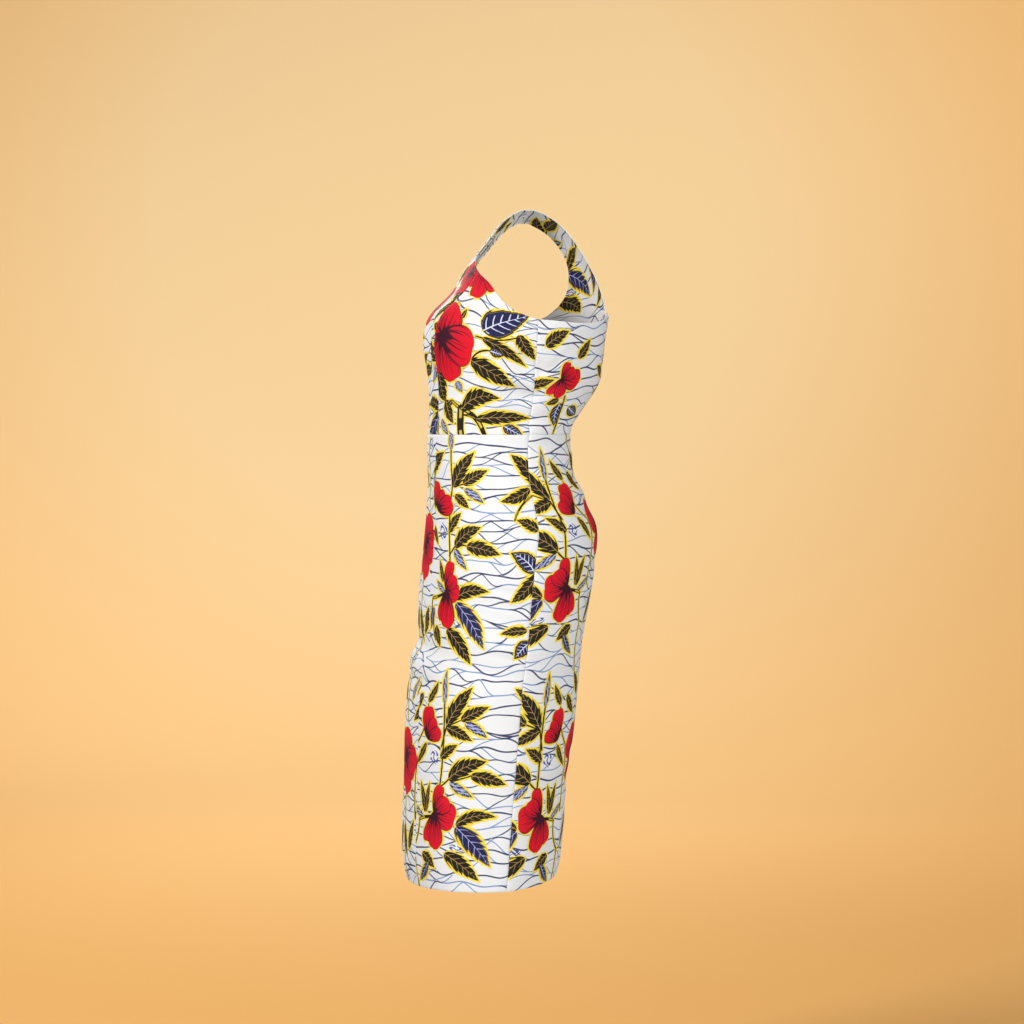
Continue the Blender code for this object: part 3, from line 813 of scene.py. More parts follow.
# The cell repeats every 0.36 m up the cloth, beside its mirror image.
printCell = motifRows([
    ("dark", 80, 2592, 490, 3197, 125, 3),
    ("dark", 335, 2680, 776, 2895, 95, 2),
    ("pale", 410, 2638, 770, 2415, 70, 4),
    ("dark", 83, 2559, 540, 2358, 90, 3),
    ("dark", -20, 2070, 295, 2296, 83, 5),
    ("dark", 152, 1753, 784, 2044, 130, 9),
    ("dark", 538, 1823, 1093, 1678, 105, 3),
    ("pale", 180, 1711, 587, 1486, 72, -3),
    ("dark", 319, 1051, 965, 1177, 95, 12),
    ("navy", 321, 1018, 888, 404, 148, 5),
    ("dark", 133, 591, 705, 187, 128, 5),
    ("pale", 12, 2928, -20, 3460, 48, 2),
    ("dark", -372, 2925, -167, 3257, 68, -3),
    ("dark", -540, 3046, -880, 2740, 82, 3),
    ("dark", -367, 2288, -670, 1925, 62, 3),
    ("dark", -337, 1210, -500, 1681, 66, -3),
    ("dark", -318, 1212, -253, 1680, 56, 3),
    ("pale", -391, 1139, -751, 1350, 50, 4),
    ("dark", -380, 566, -79, 354, 92, 4),
    ("navy", -231, 427, -517, 109, 72, 5),
    ("flower", -15, 1146, 10, 1650, 330, 0),
    ("bell", -250, 2610, -250, 2870, 185, 0),
    ("curl", -165, 2193, -154, 1952, 101, 0),
    ("curl", 209, 716, 491, 631, 60, 0),
    ("stem", 0, 3000, -35, 1500, 11, 3),
    ("stem", 80, 2592, -10, 2250, 10, 0),
    ("stem", 152, 1753, -30, 1620, 10, 5),
    ("stem", 335, 2680, 80, 2570, 8, 0),
    ("stem", 538, 1823, 152, 1753, 8, 6),
    ("stem", -493, 1084, -120, 1153, 19, 4),
    ("stem", -493, 1084, -680, 600, 11, 10),
    ("stem", -366, 2900, -680, 2250, 10, 12),
    ("stem", -680, 2250, -700, 1200, 11, -6),
    ("stem", -680, 600, -800, -300, 10, 6),
])
# A column of its own beside the cell.
flowerColumn = motifRows([
    ("open", 0, 2150, 80, 2720, 540, 0),
    ("dark", 300, 700, 500, 1180, 82, 3),
    ("navy", -120, 1100, -400, 560, 100, 4),
    ("dark", 40, 1080, 200, 560, 90, -4),
    ("dark", -180, 3020, -500, 3400, 85, -4),
    ("pale", 240, 3060, 440, 3420, 62, 3),
    ("curl", 0, 200, 180, 320, 90, 0),
    ("stem", 20, 1600, -40, 200, 12, 5),
    ("stem", 0, 3800, 40, 2700, 11, -5),
])
bodicePrint = motifRows([
    ("open", 470, 2540, 440, 3040, 520, 0),
    ("open", 615, 1390, 560, 1975, 590, 0),
    ("navy", -100, 1690, -680, 2370, 225, 3),
    ("dark", -105, 1574, -837, 1287, 100, -8),
    ("dark", 72, 1161, -629, 894, 165, -3),
    ("dark", 202, 387, -390, 636, 140, -16),
    ("dark", -59, 252, -920, 300, 112, -3),
    ("dark", 745, 880, 560, 460, 155, 10),
    ("dark", 560, 490, 343, 162, 90, 5),
    ("dark", -700, 1880, -970, 1450, 120, 4),
    ("navy", -239, 1412, -479, 1407, 75, 0),
    ("navy", -505, 156, -845, -40, 85, 0),
    ("pale", 344, 787, 231, 635, 65, 0),
    ("pale", 631, 207, 427, -10, 50, 3),
    ("pale", 820, 320, 700, -10, 70, 3),
    ("dark", 315, 1720, 266, 1860, 42, 0),
    ("dark", 420, 492, 490, 400, 45, 0),
    ("stem", 228, 404, 157, -100, 45, 2),
    ("stem", 228, 404, -240, -60, 28, -14),
    ("stem", 420, 492, 202, 387, 20, 5),
    ("stem", 21, 1560, -720, 1850, 9, 8),
    ("stem", 60, 1180, -239, 1412, 10, -12),
    ("stem", -59, 252, 180, 300, 12, 5),
])
sideBackLeaves = motifRows([
    ("dark", -1100, 6360, -658, 6856, 125, 6),
    ("dark", -945, 6303, -470, 6102, 100, -8),
    ("dark", -1050, 5640, -705, 5812, 85, 6),
    ("navy", -1040, 4990, -641, 5300, 128, 10),
    ("dark", -1080, 4960, -675, 4525, 115, -8),
    ("dark", -930, 4080, -519, 4032, 75, 4),
    ("navy", -1020, 3900, -760, 3640, 110, 6),
    ("dark", -1150, 2930, -850, 3170, 70, 5),
    ("stem", -990, 6200, -680, 5800, 12, 10),
])
sideUpper = sideBackLeaves + motifRows([
    ("dark", 349, 6332, -80, 6901, 120, -3),
    ("dark", 136, 6380, -296, 6610, 92, -2),
    ("pale", 117, 6297, -205, 6074, 72, -4),
    ("dark", 325, 6202, 56, 5991, 80, -3),
    ("dark", 504, 5609, 219, 5916, 78, -5),
    ("dark", 346, 5382, -143, 5695, 124, -9),
    ("dark", 98, 5399, -483, 5266, 112, -3),
    ("pale", 342, 5349, 64, 5029, 68, 3),
    ("dark", 265, 4575, -338, 4688, 105, -12),
    ("navy", 249, 4510, -275, 3803, 145, -5),
    ("dark", 442, 4096, -66, 3554, 125, -5),
    ("curl", 379, 4243, 123, 4109, 58, 0),
    ("curl", 654, 5480, 666, 5768, 110, 0),
    ("dark", 1000, 6550, 519, 6896, 110, -4),
    ("dark", 990, 5700, 805, 5400, 55, 3),
    ("dark", 566, 4825, 716, 5171, 52, 0),
    ("dark", 528, 4827, 473, 5158, 46, 0),
    ("pale", 512, 4652, 759, 4839, 50, 0),
    ("dark", 760, 4130, 620, 3800, 80, 0),
    ("navy", 800, 4420, 960, 4050, 70, 0),
    ("pale", 351, 6932, 385, 7300, 50, 0),
    ("bell", 705, 6190, 705, 6430, 270, 0),
    ("flower", 415, 4624, 400, 5149, 225, 0),
    ("stem", 352, 7000, 364, 6343, 10, 0),
    ("stem", 364, 6343, 504, 5620, 11, 4),
    ("stem", 504, 5620, 420, 5080, 11, 0),
    ("stem", 346, 5382, 460, 5240, 10, 0),
    ("stem", 136, 6380, 349, 6332, 8, 0),
    ("stem", 98, 5399, 346, 5382, 8, 6),
    ("stem", 860, 4560, 500, 4660, 18, 4),
    ("stem", 860, 4560, 760, 3900, 11, 8),
    ("stem", 940, 5960, 990, 5200, 10, 6),
])
# The bell beside it, where it crosses the front princess seam.
frontBell = motifRows([
    ("bell", -705, 6210, -705, 6450, 270, 0),
    ("dark", -410, 6550, -890, 6900, 110, -4),
])
strapFlower = motifRows([
    ("open", -669, 2562, -690, 3062, 500, 0),
    ("dark", -300, 2900, 100, 2620, 130, 4),
    ("navy", 200, 3150, 560, 2720, 150, -4),
    ("dark", -280, 3300, 80, 3560, 110, 5),
    ("dark", 180, 3900, -120, 4250, 105, -4),
    ("dark", 100, 3550, 180, 3100, 90, 3),
    ("open", 500, 2350, 480, 2830, 480, 0),
    ("stem", 200, 4500, 0, 3000, 12, 5),
])
backBodicePrint = motifRows([
    ("flower", 530, 960, 545, 1270, 270, 0),
    ("dark", 1100, 850, 730, 973, 85, 5),
    ("dark", 496, 630, 671, 524, 68, -3),
    ("navy", 430, 559, 341, 146, 95, 5),
    ("dark", 980, 1500, 640, 1760, 105, -4),
    ("dark", 380, 1340, 160, 1640, 82, 3),
    ("navy", 200, 480, -140, 340, 85, 4),
    ("dark", -450, 1020, -180, 1180, 80, 4),
    ("dark", -700, 500, -440, 240, 95, -4),
    ("pale", -620, 680, -350, 760, 60, 0),
    ("open", -950, 1250, -960, 1680, 420, 0),
    ("stem", 420, 700, 300, 0, 12, -5),
    ("stem", -560, 980, -660, 0, 12, 6),
])

printLook = {
    "mirrorAcross": 0.19,
    "flowerAcross": 0.315,
    "repeatAcross": 0.44,
    "repeatsAcross": range(-2, 3),
    "repeatsUp": range(-2, 4),
    "margin": 0.08,  # how far off a piece a motif may start
    "ownRowsFrom": -0.070,  # the side front's own rows end here
    "ownRowsBelow": 0.19,  # and the strap's flowers start here
    "reach": 0.0100,  # how near a face a motif counts
}
leafKinds = {"dark": 1, "navy": 2, "pale": 3}
bloomKinds = {"curl": 1, "petal": 2}
# How many motifs of each sort a face holds, from the lowest to the topmost sort.
printLayers = {"stem": 2, "leaf": 3, "bloom": 5}
# What a face holds in place of a motif: a place far off, or a stem of no width.
emptyPlaces = {
    "stem": (0.0, 1.0, -1.0),
    "leaf": (9.0, 9.0, 0.0),
    "bloom": (9.0, 9.0, 0.0),
    "lineAway": (1.0, 1.0, 1.0),
    "lineHalf": (0.0, 0.0, 0.0),
}

# Where each piece lies on the printed cloth: the cloth's place across and up at the
# piece's flat zero, +1 or -1 for its direction across, rows of its own, and how far up
# the print repeats, where 0 is never.
layouts = {
    "bodice_centre_front": (0.100, 0.071, -1, strapFlower, 0.36),
    "bodice_side_front_left": (0, 0, 1, bodicePrint, 0),
    "bodice_side_front_right": (0.085, 0.105, 1, [], 0.36),
    "bodice_back_left": (0, 0, 1, backBodicePrint, 0),
    "bodice_back_right": (0.118, 0.165, -1, [], 0.36),
    "skirt_centre_front": (-0.142, 0.0135, -1, frontBell, 0.345),
    "skirt_side_front_left": (0.031, 0.0, -1, sideUpper, 0.36),
    "skirt_side_front_right": (0.010, 0.020, 1, [], 0.36),
    "skirt_back_left": (0.2497, 0.0095, -1, [], 0.36),
    "skirt_back_right": (0.236, 0.028, 1, [], 0.36),
}

# Petals of each kind of flower: base and tip, as shares of the flower's half height and
# half width from its middle, and half width as a share of the petal's length.
petalShapes = {
    "flower": [
        (0.12, -0.34, 1.00, 0.00, 0.29),
        (0.16, -0.36, 0.04, 0.98, 0.60),
        (0.10, -0.36, 0.58, 0.54, 0.46),
        (0.16, -0.34, -0.80, -0.80, 0.29),
        (0.18, -0.32, -1.00, -0.06, 0.32),
    ],
    "open": [
        (-0.04, 0.15, 0.28, -0.95, 0.56),
        (0.13, 0.07, -0.88, -0.46, 0.36),
        (-0.15, -0.02, 0.80, 0.06, 0.58),
        (0.15, -0.06, -0.98, 0.46, 0.38),
        (0.02, -0.15, -0.04, 0.98, 0.56),
    ],
    "bell": [
        (-0.95, -0.60, 0.98, -0.48, 0.38),
        (-0.95, -0.60, 0.30, 0.40, 0.34),
        (-0.95, -0.62, -0.46, 1.15, 0.42),
    ],
}


# A flower's row runs from its middle to its top.
def petalsOf(kind, u0, v0, u1, v1, half, bend):
    middle, up = np.array([u0, v0]), np.array([u1 - u0, v1 - v0])
    side = np.array([-up[1], up[0]]) / np.linalg.norm(up) * half * (1 if bend >= 0 else -1)
    rows = []
    for x0, y0, x1, y1, wide in petalShapes[kind]:
        base, tip = middle + up * x0 + side * y0, middle + up * x1 + side * y1
        petalHalf = wide * np.linalg.norm(tip - base)
        rows.append(("petal", *base, *tip, petalHalf, 0.03 if y1 > 0 else -0.03))
    return rows


# The repeat's rows as (across, up, mirror, row), one cell after another.
def repeatedRows(repeatUp):
    look = printLook
    columns = [
        (printCell, 0.0, 1),
        (printCell, look["mirrorAcross"], -1),
        (flowerColumn, look["flowerAcross"], 1),
    ]
    for cell, at, mirror in columns if repeatUp else []:
        for i in look["repeatsAcross"]:
            for j in look["repeatsUp"]:
                for row in cell:
                    yield at + i * look["repeatAcross"], j, mirror, row


# Every motif row of one piece, in its own flat places.
def motifsOf(name, flat):
    across0, up0, side, extra, repeatUp = layouts[name]
    places = flat.reshape(-1, 2)
    low, high = places.min(0) - printLook["margin"], places.max(0) + printLook["margin"]
    rows = list(extra)
    for at, j, mirror, (kind, x0, y0, x1, y1, half, bend) in repeatedRows(repeatUp):
        u0, u1 = (side * (at + mirror * x - across0) for x in (x0, x1))
        v0, v1 = (y + j * repeatUp - up0 for y in (y0, y1))
        if not (low[0] < u0 < high[0] and low[1] < v0 < high[1]):
            continue
        # where a piece has rows of its own, the repeat's are left out
        if extra is sideUpper and (u0 < printLook["ownRowsFrom"] or j > 0):
            continue
        if extra is strapFlower and v0 > printLook["ownRowsBelow"]:
            continue
        bent = bend if kind not in petalShapes else -1
        rows.append((kind, u0, v0, u1, v1, half, bent * side * mirror))
    plain = [row for row in rows if row[0] not in petalShapes]
    return plain + [petal for row in rows if row[0] in petalShapes for petal in petalsOf(*row)]


# Each point's place along and across each motif, as shares of the motif's length.
def alongAcross(rows, flat):
    base, tip = rows[:, 0:2], rows[:, 2:4]
    length = np.linalg.norm(tip - base, axis=1)
    axis = (tip - base) / length[:, None]
    away = flat[:, None, :] - base[None]
    along = (away * axis[None]).sum(-1) / length
    across = (away[..., 1] * axis[:, 0] - away[..., 0] * axis[:, 1]) / length
    inside = np.clip(along, 0, 1)
    beyond = np.maximum(np.maximum(-along, along - 1), 0)
    return along, across - 4 * rows[:, 5] * inside * (1 - inside), beyond, length


# Corner values of the few motifs nearest to each face, in list order: one layer of
# triples for each. Distances and values are one row for each point, one column a motif.
def nearestLayers(kind, distance, quads, *values):
    empty = emptyPlaces[kind]
    near = distance[quads].min(axis=1)
    chosen = np.argsort(near, axis=1)[:, : printLayers[kind]]
    kept = np.take_along_axis(near, chosen, 1) < printLook["reach"]
    chosen = np.sort(np.where(kept, chosen, distance.shape[1]), axis=1)
    padded = [
        np.concatenate([part, np.full((len(part), 1), missing)], axis=1)
        for part, missing in zip(values, empty)
    ]
    return [
        np.stack([part[quads, pick[:, None]] for part in padded], axis=-1).reshape(-1, 3)
        for pick in chosen.T
    ]


# Leaves or blooms: along, across, and a code of 100 times the kind, plus 100 times half
# width over length, plus the length.
def motifLayers(rows, sort, kinds, flat, quads):
    kept = [row for row in rows if row[0] in kinds]
    if not kept:
        return [np.tile(emptyPlaces[sort], (quads.size, 1))] * printLayers[sort]
    numbers = np.array([row[1:] for row in kept])
    along, across, beyond, length = alongAcross(numbers, flat)
    ratio = np.clip(numbers[:, 4] / length, 0.01, 0.99)
    code = np.array([kinds[row[0]] * 100 for row in kept]) + np.round(ratio * 100) + length
    distance = np.hypot(beyond, np.maximum(np.abs(across) - ratio, 0)) * length
    codes = np.broadcast_to(code, along.shape)
    return nearestLayers(sort, distance, quads, along, across, codes)


# Stems: metres along, metres from the middle line, and half width, which closes past the ends.
def stemLayers(rows, flat, quads):
    numbers = np.array([row[1:] for row in rows if row[0] == "stem"])
    along, across, beyond, length = alongAcross(numbers, flat)
    half = numbers[:, 4] * 1.35 - beyond * length
    distance = np.abs(across) * length - half
    return nearestLayers("stem", distance, quads, along * length, across * length, half)


lineLook = {
    "spacing": 0.0172,
    "shift": 0.0030,
    "skirtTop": 0.0135,  # the topmost line stays this far under the waist seam
    "beyond": (0.02, 0.03),  # below and above other edges
    "high": (0.0022, 0.0046),
    "ripple": (0.40, 1.9),  # a second wave's height and frequency over the first's
    "waves": (44, 74),  # radians a metre
    "slope": 0.06,
    "blueShare": 0.38,
    "blueHalf": (0.0008, 0.0011),
    "navyHalf": (0.0010, 0.0013),
    # lines that join two others: share of blue ones in each set, length, half width
    "joinBlue": (0.15, 0.15, 0.85, 0.85),
    "joinStarts": (0.02, 0.01),  # past one side of the piece, and short of the other
    "joinReach": (0.028, 0.052),
    "joinHalf": (0.0008, 0.0012),
    "joinBlueHalf": 0.0009,
    "joinEnd": 0.006,  # over which its end closes
}


# Wavy lines round the piece: height + slope * u + two sines of u. Slanting ones leave one
# of them and join the next along a smooth step.
def lineLayers(name, flat):
    look = lineLook
    rng = np.random.default_rng(sum(map(ord, name)))
    u, v = flat[:, :1], flat[:, 1]
    top = v.max() - look["skirtTop"] if name.startswith("skirt") else v.max() + look["beyond"][1]
    base = np.arange(v.min() - look["beyond"][0], top, look["spacing"])
    count = len(base)
    base = base + rng.uniform(-look["shift"], look["shift"], count)
    high = rng.uniform(*look["high"], (2, count)) * [[1], [look["ripple"][0]]]
    waves = u * rng.uniform(*look["waves"], count)
    turn = rng.uniform(0, 2 * math.pi, (2, count))
    line = base + u * rng.uniform(-look["slope"], look["slope"], count)
    line = line + high[0] * np.sin(waves + turn[0])
    line = line + high[1] * np.sin(waves * look["ripple"][1] + turn[1])
    blue = rng.random(count) < look["blueShare"]
    blueHalf, navyHalf = (rng.uniform(*look[ink + "Half"], count) for ink in ("blue", "navy"))
    half = np.where(blue, blueHalf, navyHalf)
    curves, widths, blues = [line], [np.broadcast_to(half, line.shape)], [blue]
    lower, upper, count = line[:, :-1], line[:, 1:], count - 1
    for blueShare in look["joinBlue"]:
        start = rng.uniform(u.min() - look["joinStarts"][0], u.max() - look["joinStarts"][1], count)
        reach = rng.uniform(*look["joinReach"], count)
        share = (u - start) / reach
        t = np.clip(share, 0, 1)
        t = t * t * (3 - 2 * t)
        rising = rng.random(count) < 0.5
        first, second = np.where(rising, lower, upper), np.where(rising, upper, lower)
        thin = rng.random(count) < blueShare
        half = np.where(thin, look["joinBlueHalf"], rng.uniform(*look["joinHalf"], count))
        beyond = np.maximum(-share, share - 1) * reach
        curves.append(first * (1 - t) + second * t)
        widths.append(half * np.clip(1 - beyond / look["joinEnd"], 0, 1))
        blues.append(thin)
    return np.concatenate(curves, 1), np.concatenate(widths, 1), np.concatenate(blues)


# Everything that the print's material reads from a piece: one triple for each corner.
def printAttributes(name, flat, quads):
    rows = motifsOf(name, flat)
    places = flat.reshape(-1, 2)
    layers = {}
    for sort, made in (
        ("leaf", motifLayers(rows, "leaf", leafKinds, places, quads)),
        ("bloom", motifLayers(rows, "bloom", bloomKinds, places, quads)),
        ("stem", stemLayers(rows, places, quads)),
    ):
        layers.update({f"{sort}{k}": values for k, values in enumerate(made)})
    # the three nearest lines: distance, square to the line, and half width, below 0 if blue
    line, width, blue = lineLayers(name, places)
    shape = (*flat.shape[:2], -1)
    slope = np.gradient(line.reshape(shape), axis=1) / np.gradient(flat[..., :1], axis=1)
    away = (places[:, 1:2] - line) / np.sqrt(1 + slope.reshape(line.shape) ** 2)
    near = (np.abs(away) + np.where(width > 0, 0, 1))[quads].min(axis=1)
    chosen = np.argsort(near, axis=1)[:, None, :3]
    signed = width * np.where(blue, -1.0, 1.0)
    for label, values in (("lineAway", away), ("lineHalf", signed)):
        layers[label] = np.take_along_axis(values[quads], chosen, 2).reshape(-1, 3)
    return layers


inks = {
    "ground": (0.915, 0.915, 0.92),
    "groundTint": (0.89, 0.895, 0.91),
    "navy": (0.017, 0.018, 0.080),
    "lineNavy": (0.018, 0.026, 0.100),
    "lineBlue": (0.180, 0.285, 0.540),
    "dark": (0.017, 0.012, 0.007),
    "gold": (0.50, 0.32, 0.085),
    "lavender": (0.48, 0.50, 0.84),
    "hatch": (0.52, 0.57, 0.86),
    "paleVein": (0.72, 0.76, 0.96),
    "red": (0.83, 0.003, 0.022),
    "crimson": (0.52, 0.004, 0.022),
    "throat": (0.045, 0.004, 0.016),
    "yellow": (1.0, 0.745, 0.018),
    "blueInk": (0.055, 0.085, 0.34),
    "dash": (0.72, 0.52, 0.06),
}

printShader = {
    "edge": 0.00022,  # softness of a motif's edge, in metres
    "halo": (0.0031, 0.0019),  # reach and softness of the yellow round a motif
    "stemHalo": (0.0022, 0.0016),
    "wobble": 0.0036,
    "wobblePerMetre": 160.0,
    "outline": (0.0012, 0.0002),  # dark line round a petal
}


# A motif's group takes its place and a wobble, and gives its body, its halo and a colour.
def motifGroup(name):
    outputs = [("Body", "Float"), ("Halo", "Float"), ("Colour", "Color")]
    tree, given, made = newGroup(name, [("Place", "Vector"), ("Wobble", "Float")], outputs)
    wobble = Term(tree, given.outputs["Wobble"])
    return tree, splitVector(tree, given.outputs["Place"]), wobble, made


# Kind, half width over length, and length in metres, from a motif's code.
def readCode(code):
    kind = (code * 0.01).whole()
    return kind, (code - kind * 100.0).whole() * 0.01, code.part()


# Yellow near an outline: outside it by the distance past an end and the distance beside.
def haloOf(x, side, shape, length, metres, wobble):
    beyond = (x - x.unit()) * length
    besides = (side - shape).most(0.0) * metres
    return ((beyond * beyond + besides * besides) ** 0.5 + wobble).below(*printShader["halo"])


# One leaf. Its half width is x^0.62 (1 - x)^1.02 along its length, less its teeth, which
# point forwards and come and go. Veins slant back from a rib that thins to the tip.
def leafGroup():
    tree, (x, y, code), wobble, made = motifGroup("printed_leaf")
    kind, ratio, length = readCode(code)
    inside, side, metres = x.unit(), abs(y) / ratio.most(0.01), ratio * length
    upper = y.above(0.0, 0.001)
    isPale = kind.above(2.5, 0.1)
    isNavy = kind.above(1.5, 0.1) * kind.below(2.5, 0.1)
    broad = isNavy * ratio.above(0.215, 0.01)
    notDark = isNavy.most(isPale)

    shape = (inside.most(0.0001) ** 0.62) * ((1.0 - inside).most(0.0001) ** 1.02) * 3.12
    uneven = (inside * 11.0 + length * 900.0).sine() * 0.26
    teeth = (inside * 4.9 - side * 1.1 + uneven + upper * 0.4 + 0.3).part()
    deep = (0.40 - broad * 0.25) * ((inside * 17.0 + length * 500.0).sine() * 0.25 + 0.85)
    toothed = shape * (1.07 - (1.0 - teeth) * deep * inside.above(0.08, 0.05))
    depth = (toothed - side) * metres
    body = depth.above(0.0, printShader["edge"]) * x.above(0.0, 0.003) * x.below(1.0, 0.003)

    rib = abs(y) * length - (1.20 - inside) * (broad * 0.00040 + 0.00050)
    rib = rib.below(0.0, 0.0002) * inside.below(0.90, 0.02)
    slant = (inside * 6.0 - side * 0.85 - side * side * 0.55 + upper * 0.35).part()
    veinHalf = (1.0 - side / shape.most(0.02)) * 0.050 + 0.012 + broad * 0.035
    veinEnd = shape * (0.62 + (inside * 41.0).sine() * 0.16)
    veins = (abs(slant - 0.5) - veinHalf).below(0.0, 0.022)
    veins = rib.most(veins * (side - veinEnd).below(0.0, 0.05) * inside.above(0.05, 0.01))

    # a broad leaf has a dark border, then a gold line, then its thick veins
    border = depth - broad * 0.0013
    rim = border.below(0.0017, 0.0002) * border.above(0.0011, 0.0002) * isNavy
    darkBorder = broad * border.below(0.0011, 0.0002)
    veins = veins * (1.0 - broad * border.below(0.0024, 0.0004))
    veinInk = mixColour(tree, notDark, inks["gold"], inks["lavender"])
    veinInk = mixColour(tree, broad, veinInk, inks["paleVein"])
    # a pale leaf is hatched along its length
    hatch = abs((x * 11.0 + y * 26.0 + wobble * 1100.0).sine()).above(0.74, 0.14)
    bright = isPale * (depth - 0.0013).above(0.0, 0.0004) * hatch
    colour = mixColour(tree, notDark * (1.0 - darkBorder), inks["dark"], inks["navy"])
    colour = mixColour(tree, rim * 0.75, colour, inks["gold"])
    colour = mixColour(tree, veins, colour, veinInk)
    colour = mixColour(tree, bright * 0.85, colour, inks["hatch"])
    real = code.above(50.0, 1.0)
    halo = haloOf(x, side, shape, length, metres, wobble)
    return giveOut(tree, made, Body=body * real, Halo=halo * real, Colour=colour)


# One petal, which widens from its base to a round end with a waved rim: its half width is
# x^0.62 (1 - x^4)^0.5. Or a curl, a small white blossom drawn with loose blue strokes.
def bloomGroup():
    tree, (x, y, code), wobble, made = motifGroup("printed_bloom")
    kind, ratio, length = readCode(code)
    inside, across, metres = x.unit(), y / ratio.most(0.01), ratio * length
    side = abs(across)
    isCurl = kind.below(1.5, 0.1)

    wave = (across * 6.0 + length * 300.0).sine() * 0.018
    far = (inside + wave * x.above(0.6, 0.2)).unit()
    shape = (far.most(0.0001) ** 0.62) * ((1.0 - far ** 4.0).most(0.0001) ** 0.5) * 1.18
    depth = (shape - side) * metres
    body = depth.above(0.0, printShader["edge"]) * x.above(0.0, 0.003) * x.below(1.0, 0.003)
    halo = haloOf(x, side, shape, length, metres, wobble) * (1.0 - isCurl)

    # streaks fan out from the base: thick and close near it, then a few fine ones
    fan = y / (ratio.most(0.01) * shape.most(0.12))
    lines = abs((fan * 8.6 + length * 210.0 + (x * 5.0).sine() * 0.5).sine())
    streak = (lines - (0.98 - x * 1.38).most(0.0)).below(0.05, 0.07) * x.below(0.72, 0.10)
    fine = abs((fan * 5.0 + length * 97.0).sine()).below(0.11, 0.06) * x.below(0.86, 0.06)
    spikes = abs((fan * 3.6 + 0.8).sine()) * 0.20
    core = (x + spikes - length.above(0.038, 0.012) * 0.10).below(0.36, 0.05)
    crease = (abs(y - ratio * 0.22 * x) * length).below(0.00035, 0.0002)
    crease = crease * x.above(0.25, 0.05) * x.below(0.80, 0.05)
    dark = core.most(streak * 0.92).most(fine * 0.75).most(crease * 0.8)
    dark = dark.most(depth.below(*printShader["outline"])).unit()
    red = mixColour(tree, x.below(0.60, 0.35) * 0.55, inks["red"], inks["crimson"])
    rim = (side / shape.most(0.02)).above(0.86, 0.10)
    red = mixColour(tree, rim * 0.30, red, inks["crimson"])
    petal = mixColour(tree, dark, red, inks["throat"])

    middle = x - 0.5
    inCurl = ((middle * middle * 4.0 + side * side) ** 0.5).below(0.95, 0.10)
    swirl = (across * 2.6 + (x * 8.0).sine() * 0.8).sine() * 2.2
    strokes = abs((x * 7.0 + swirl + wobble * 400.0).sine()).below(0.60, 0.12) * inCurl

    real = code.above(50.0, 1.0)
    body = (body * (1.0 - isCurl) + strokes * isCurl) * real
    colour = mixColour(tree, isCurl, petal, inks["blueInk"])
    return giveOut(tree, made, Body=body, Halo=halo * real, Colour=colour)


# One stem: within its half width of its middle line. A thick one has yellow dashes.
def stemGroup():
    tree, (along, across, half), wobble, made = motifGroup("printed_stem")
    away = abs(across) - half + wobble * 0.3
    dash = (along * 190.0).sine().above(0.2, 0.2) * (abs(across) - half * 0.42).below(0.0, 0.0002)
    colour = mixColour(tree, dash * half.above(0.0016, 0.0002), inks["dark"], inks["dash"])
    halo = (away + wobble).below(*printShader["stemHalo"])
    return giveOut(tree, made, Body=away.below(0.0, printShader["edge"]), Halo=halo, Colour=colour)


# The whole print: ground, lines, yellow halos, then stems, leaves and blooms.
def printGroup():
    tree, _, made = newGroup("ankara_print", [], [("Colour", "Color"), ("Ink", "Float")])
    flat = attribute(tree, "cloth")
    fine, tint = noise(tree, flat, 26.0), noise(tree, flat, 9.0)
    wobble = noise(tree, flat, printShader["wobblePerMetre"]) - 0.5
    wobble = wobble * printShader["wobble"]

    # a line's half width swells and thins, and is below 0 for a blue line
    blueLines, navyLines = [], []
    away, half = (splitVector(tree, attribute(tree, name)) for name in ("lineAway", "lineHalf"))
    for distance, signed in zip(away, half):
        near = (abs(distance) - abs(signed) * (fine * 0.9 + 0.55)).below(0.0, 0.00028)
        near = near * abs(signed).above(0.0003, 0.0001)
        blueLines.append(near * signed.below(0.0, 0.00001))
        navyLines.append(near * signed.above(0.0, 0.00001))
    blueLine, navyLine = reduce(Term.most, blueLines), reduce(Term.most, navyLines)
    colour = mixColour(tree, tint.above(0.55, 0.25) * 0.5, inks["ground"], inks["groundTint"])
    colour = mixColour(tree, blueLine * 0.88, colour, inks["lineBlue"])
    colour = mixColour(tree, navyLine * 0.96, colour, inks["lineNavy"])

    groups = {"stem": stemGroup(), "leaf": leafGroup(), "bloom": bloomGroup()}
    layers = [
        useGroup(tree, groups[sort], Place=attribute(tree, f"{sort}{k}"), Wobble=wobble)
        for sort, count in printLayers.items() for k in range(count)
    ]
    halo = reduce(Term.most, [Term(tree, layer.outputs["Halo"]) for layer in layers])
    bodies = [Term(tree, layer.outputs["Body"]) for layer in layers]
    colour = mixColour(tree, halo * 0.97, colour, inks["yellow"])
    for layer, body in zip(layers, bodies):
        colour = mixColour(tree, body, colour, layer.outputs["Colour"])
    return giveOut(tree, made, Colour=colour, Ink=reduce(Term.most, bodies, navyLine))


# Plain weave: two sets of threads, each a sine across its own direction, where one is
# over the other by turns.
def weaveHeight(tree, vector, perMetre):
    u, v, _ = splitVector(tree, vector)
    a, b = (u * (perMetre * math.pi)).sine(), (v * (perMetre * math.pi)).sine()
    over = (a * b).above(0.0, 0.2)
    return abs(a) * over + abs(b) * (1.0 - over)


clothLook = {"threadsPerMetre": 1500.0, "slubPerMetre": 240.0, "shade": (0.30, 0.28, 0.26)}


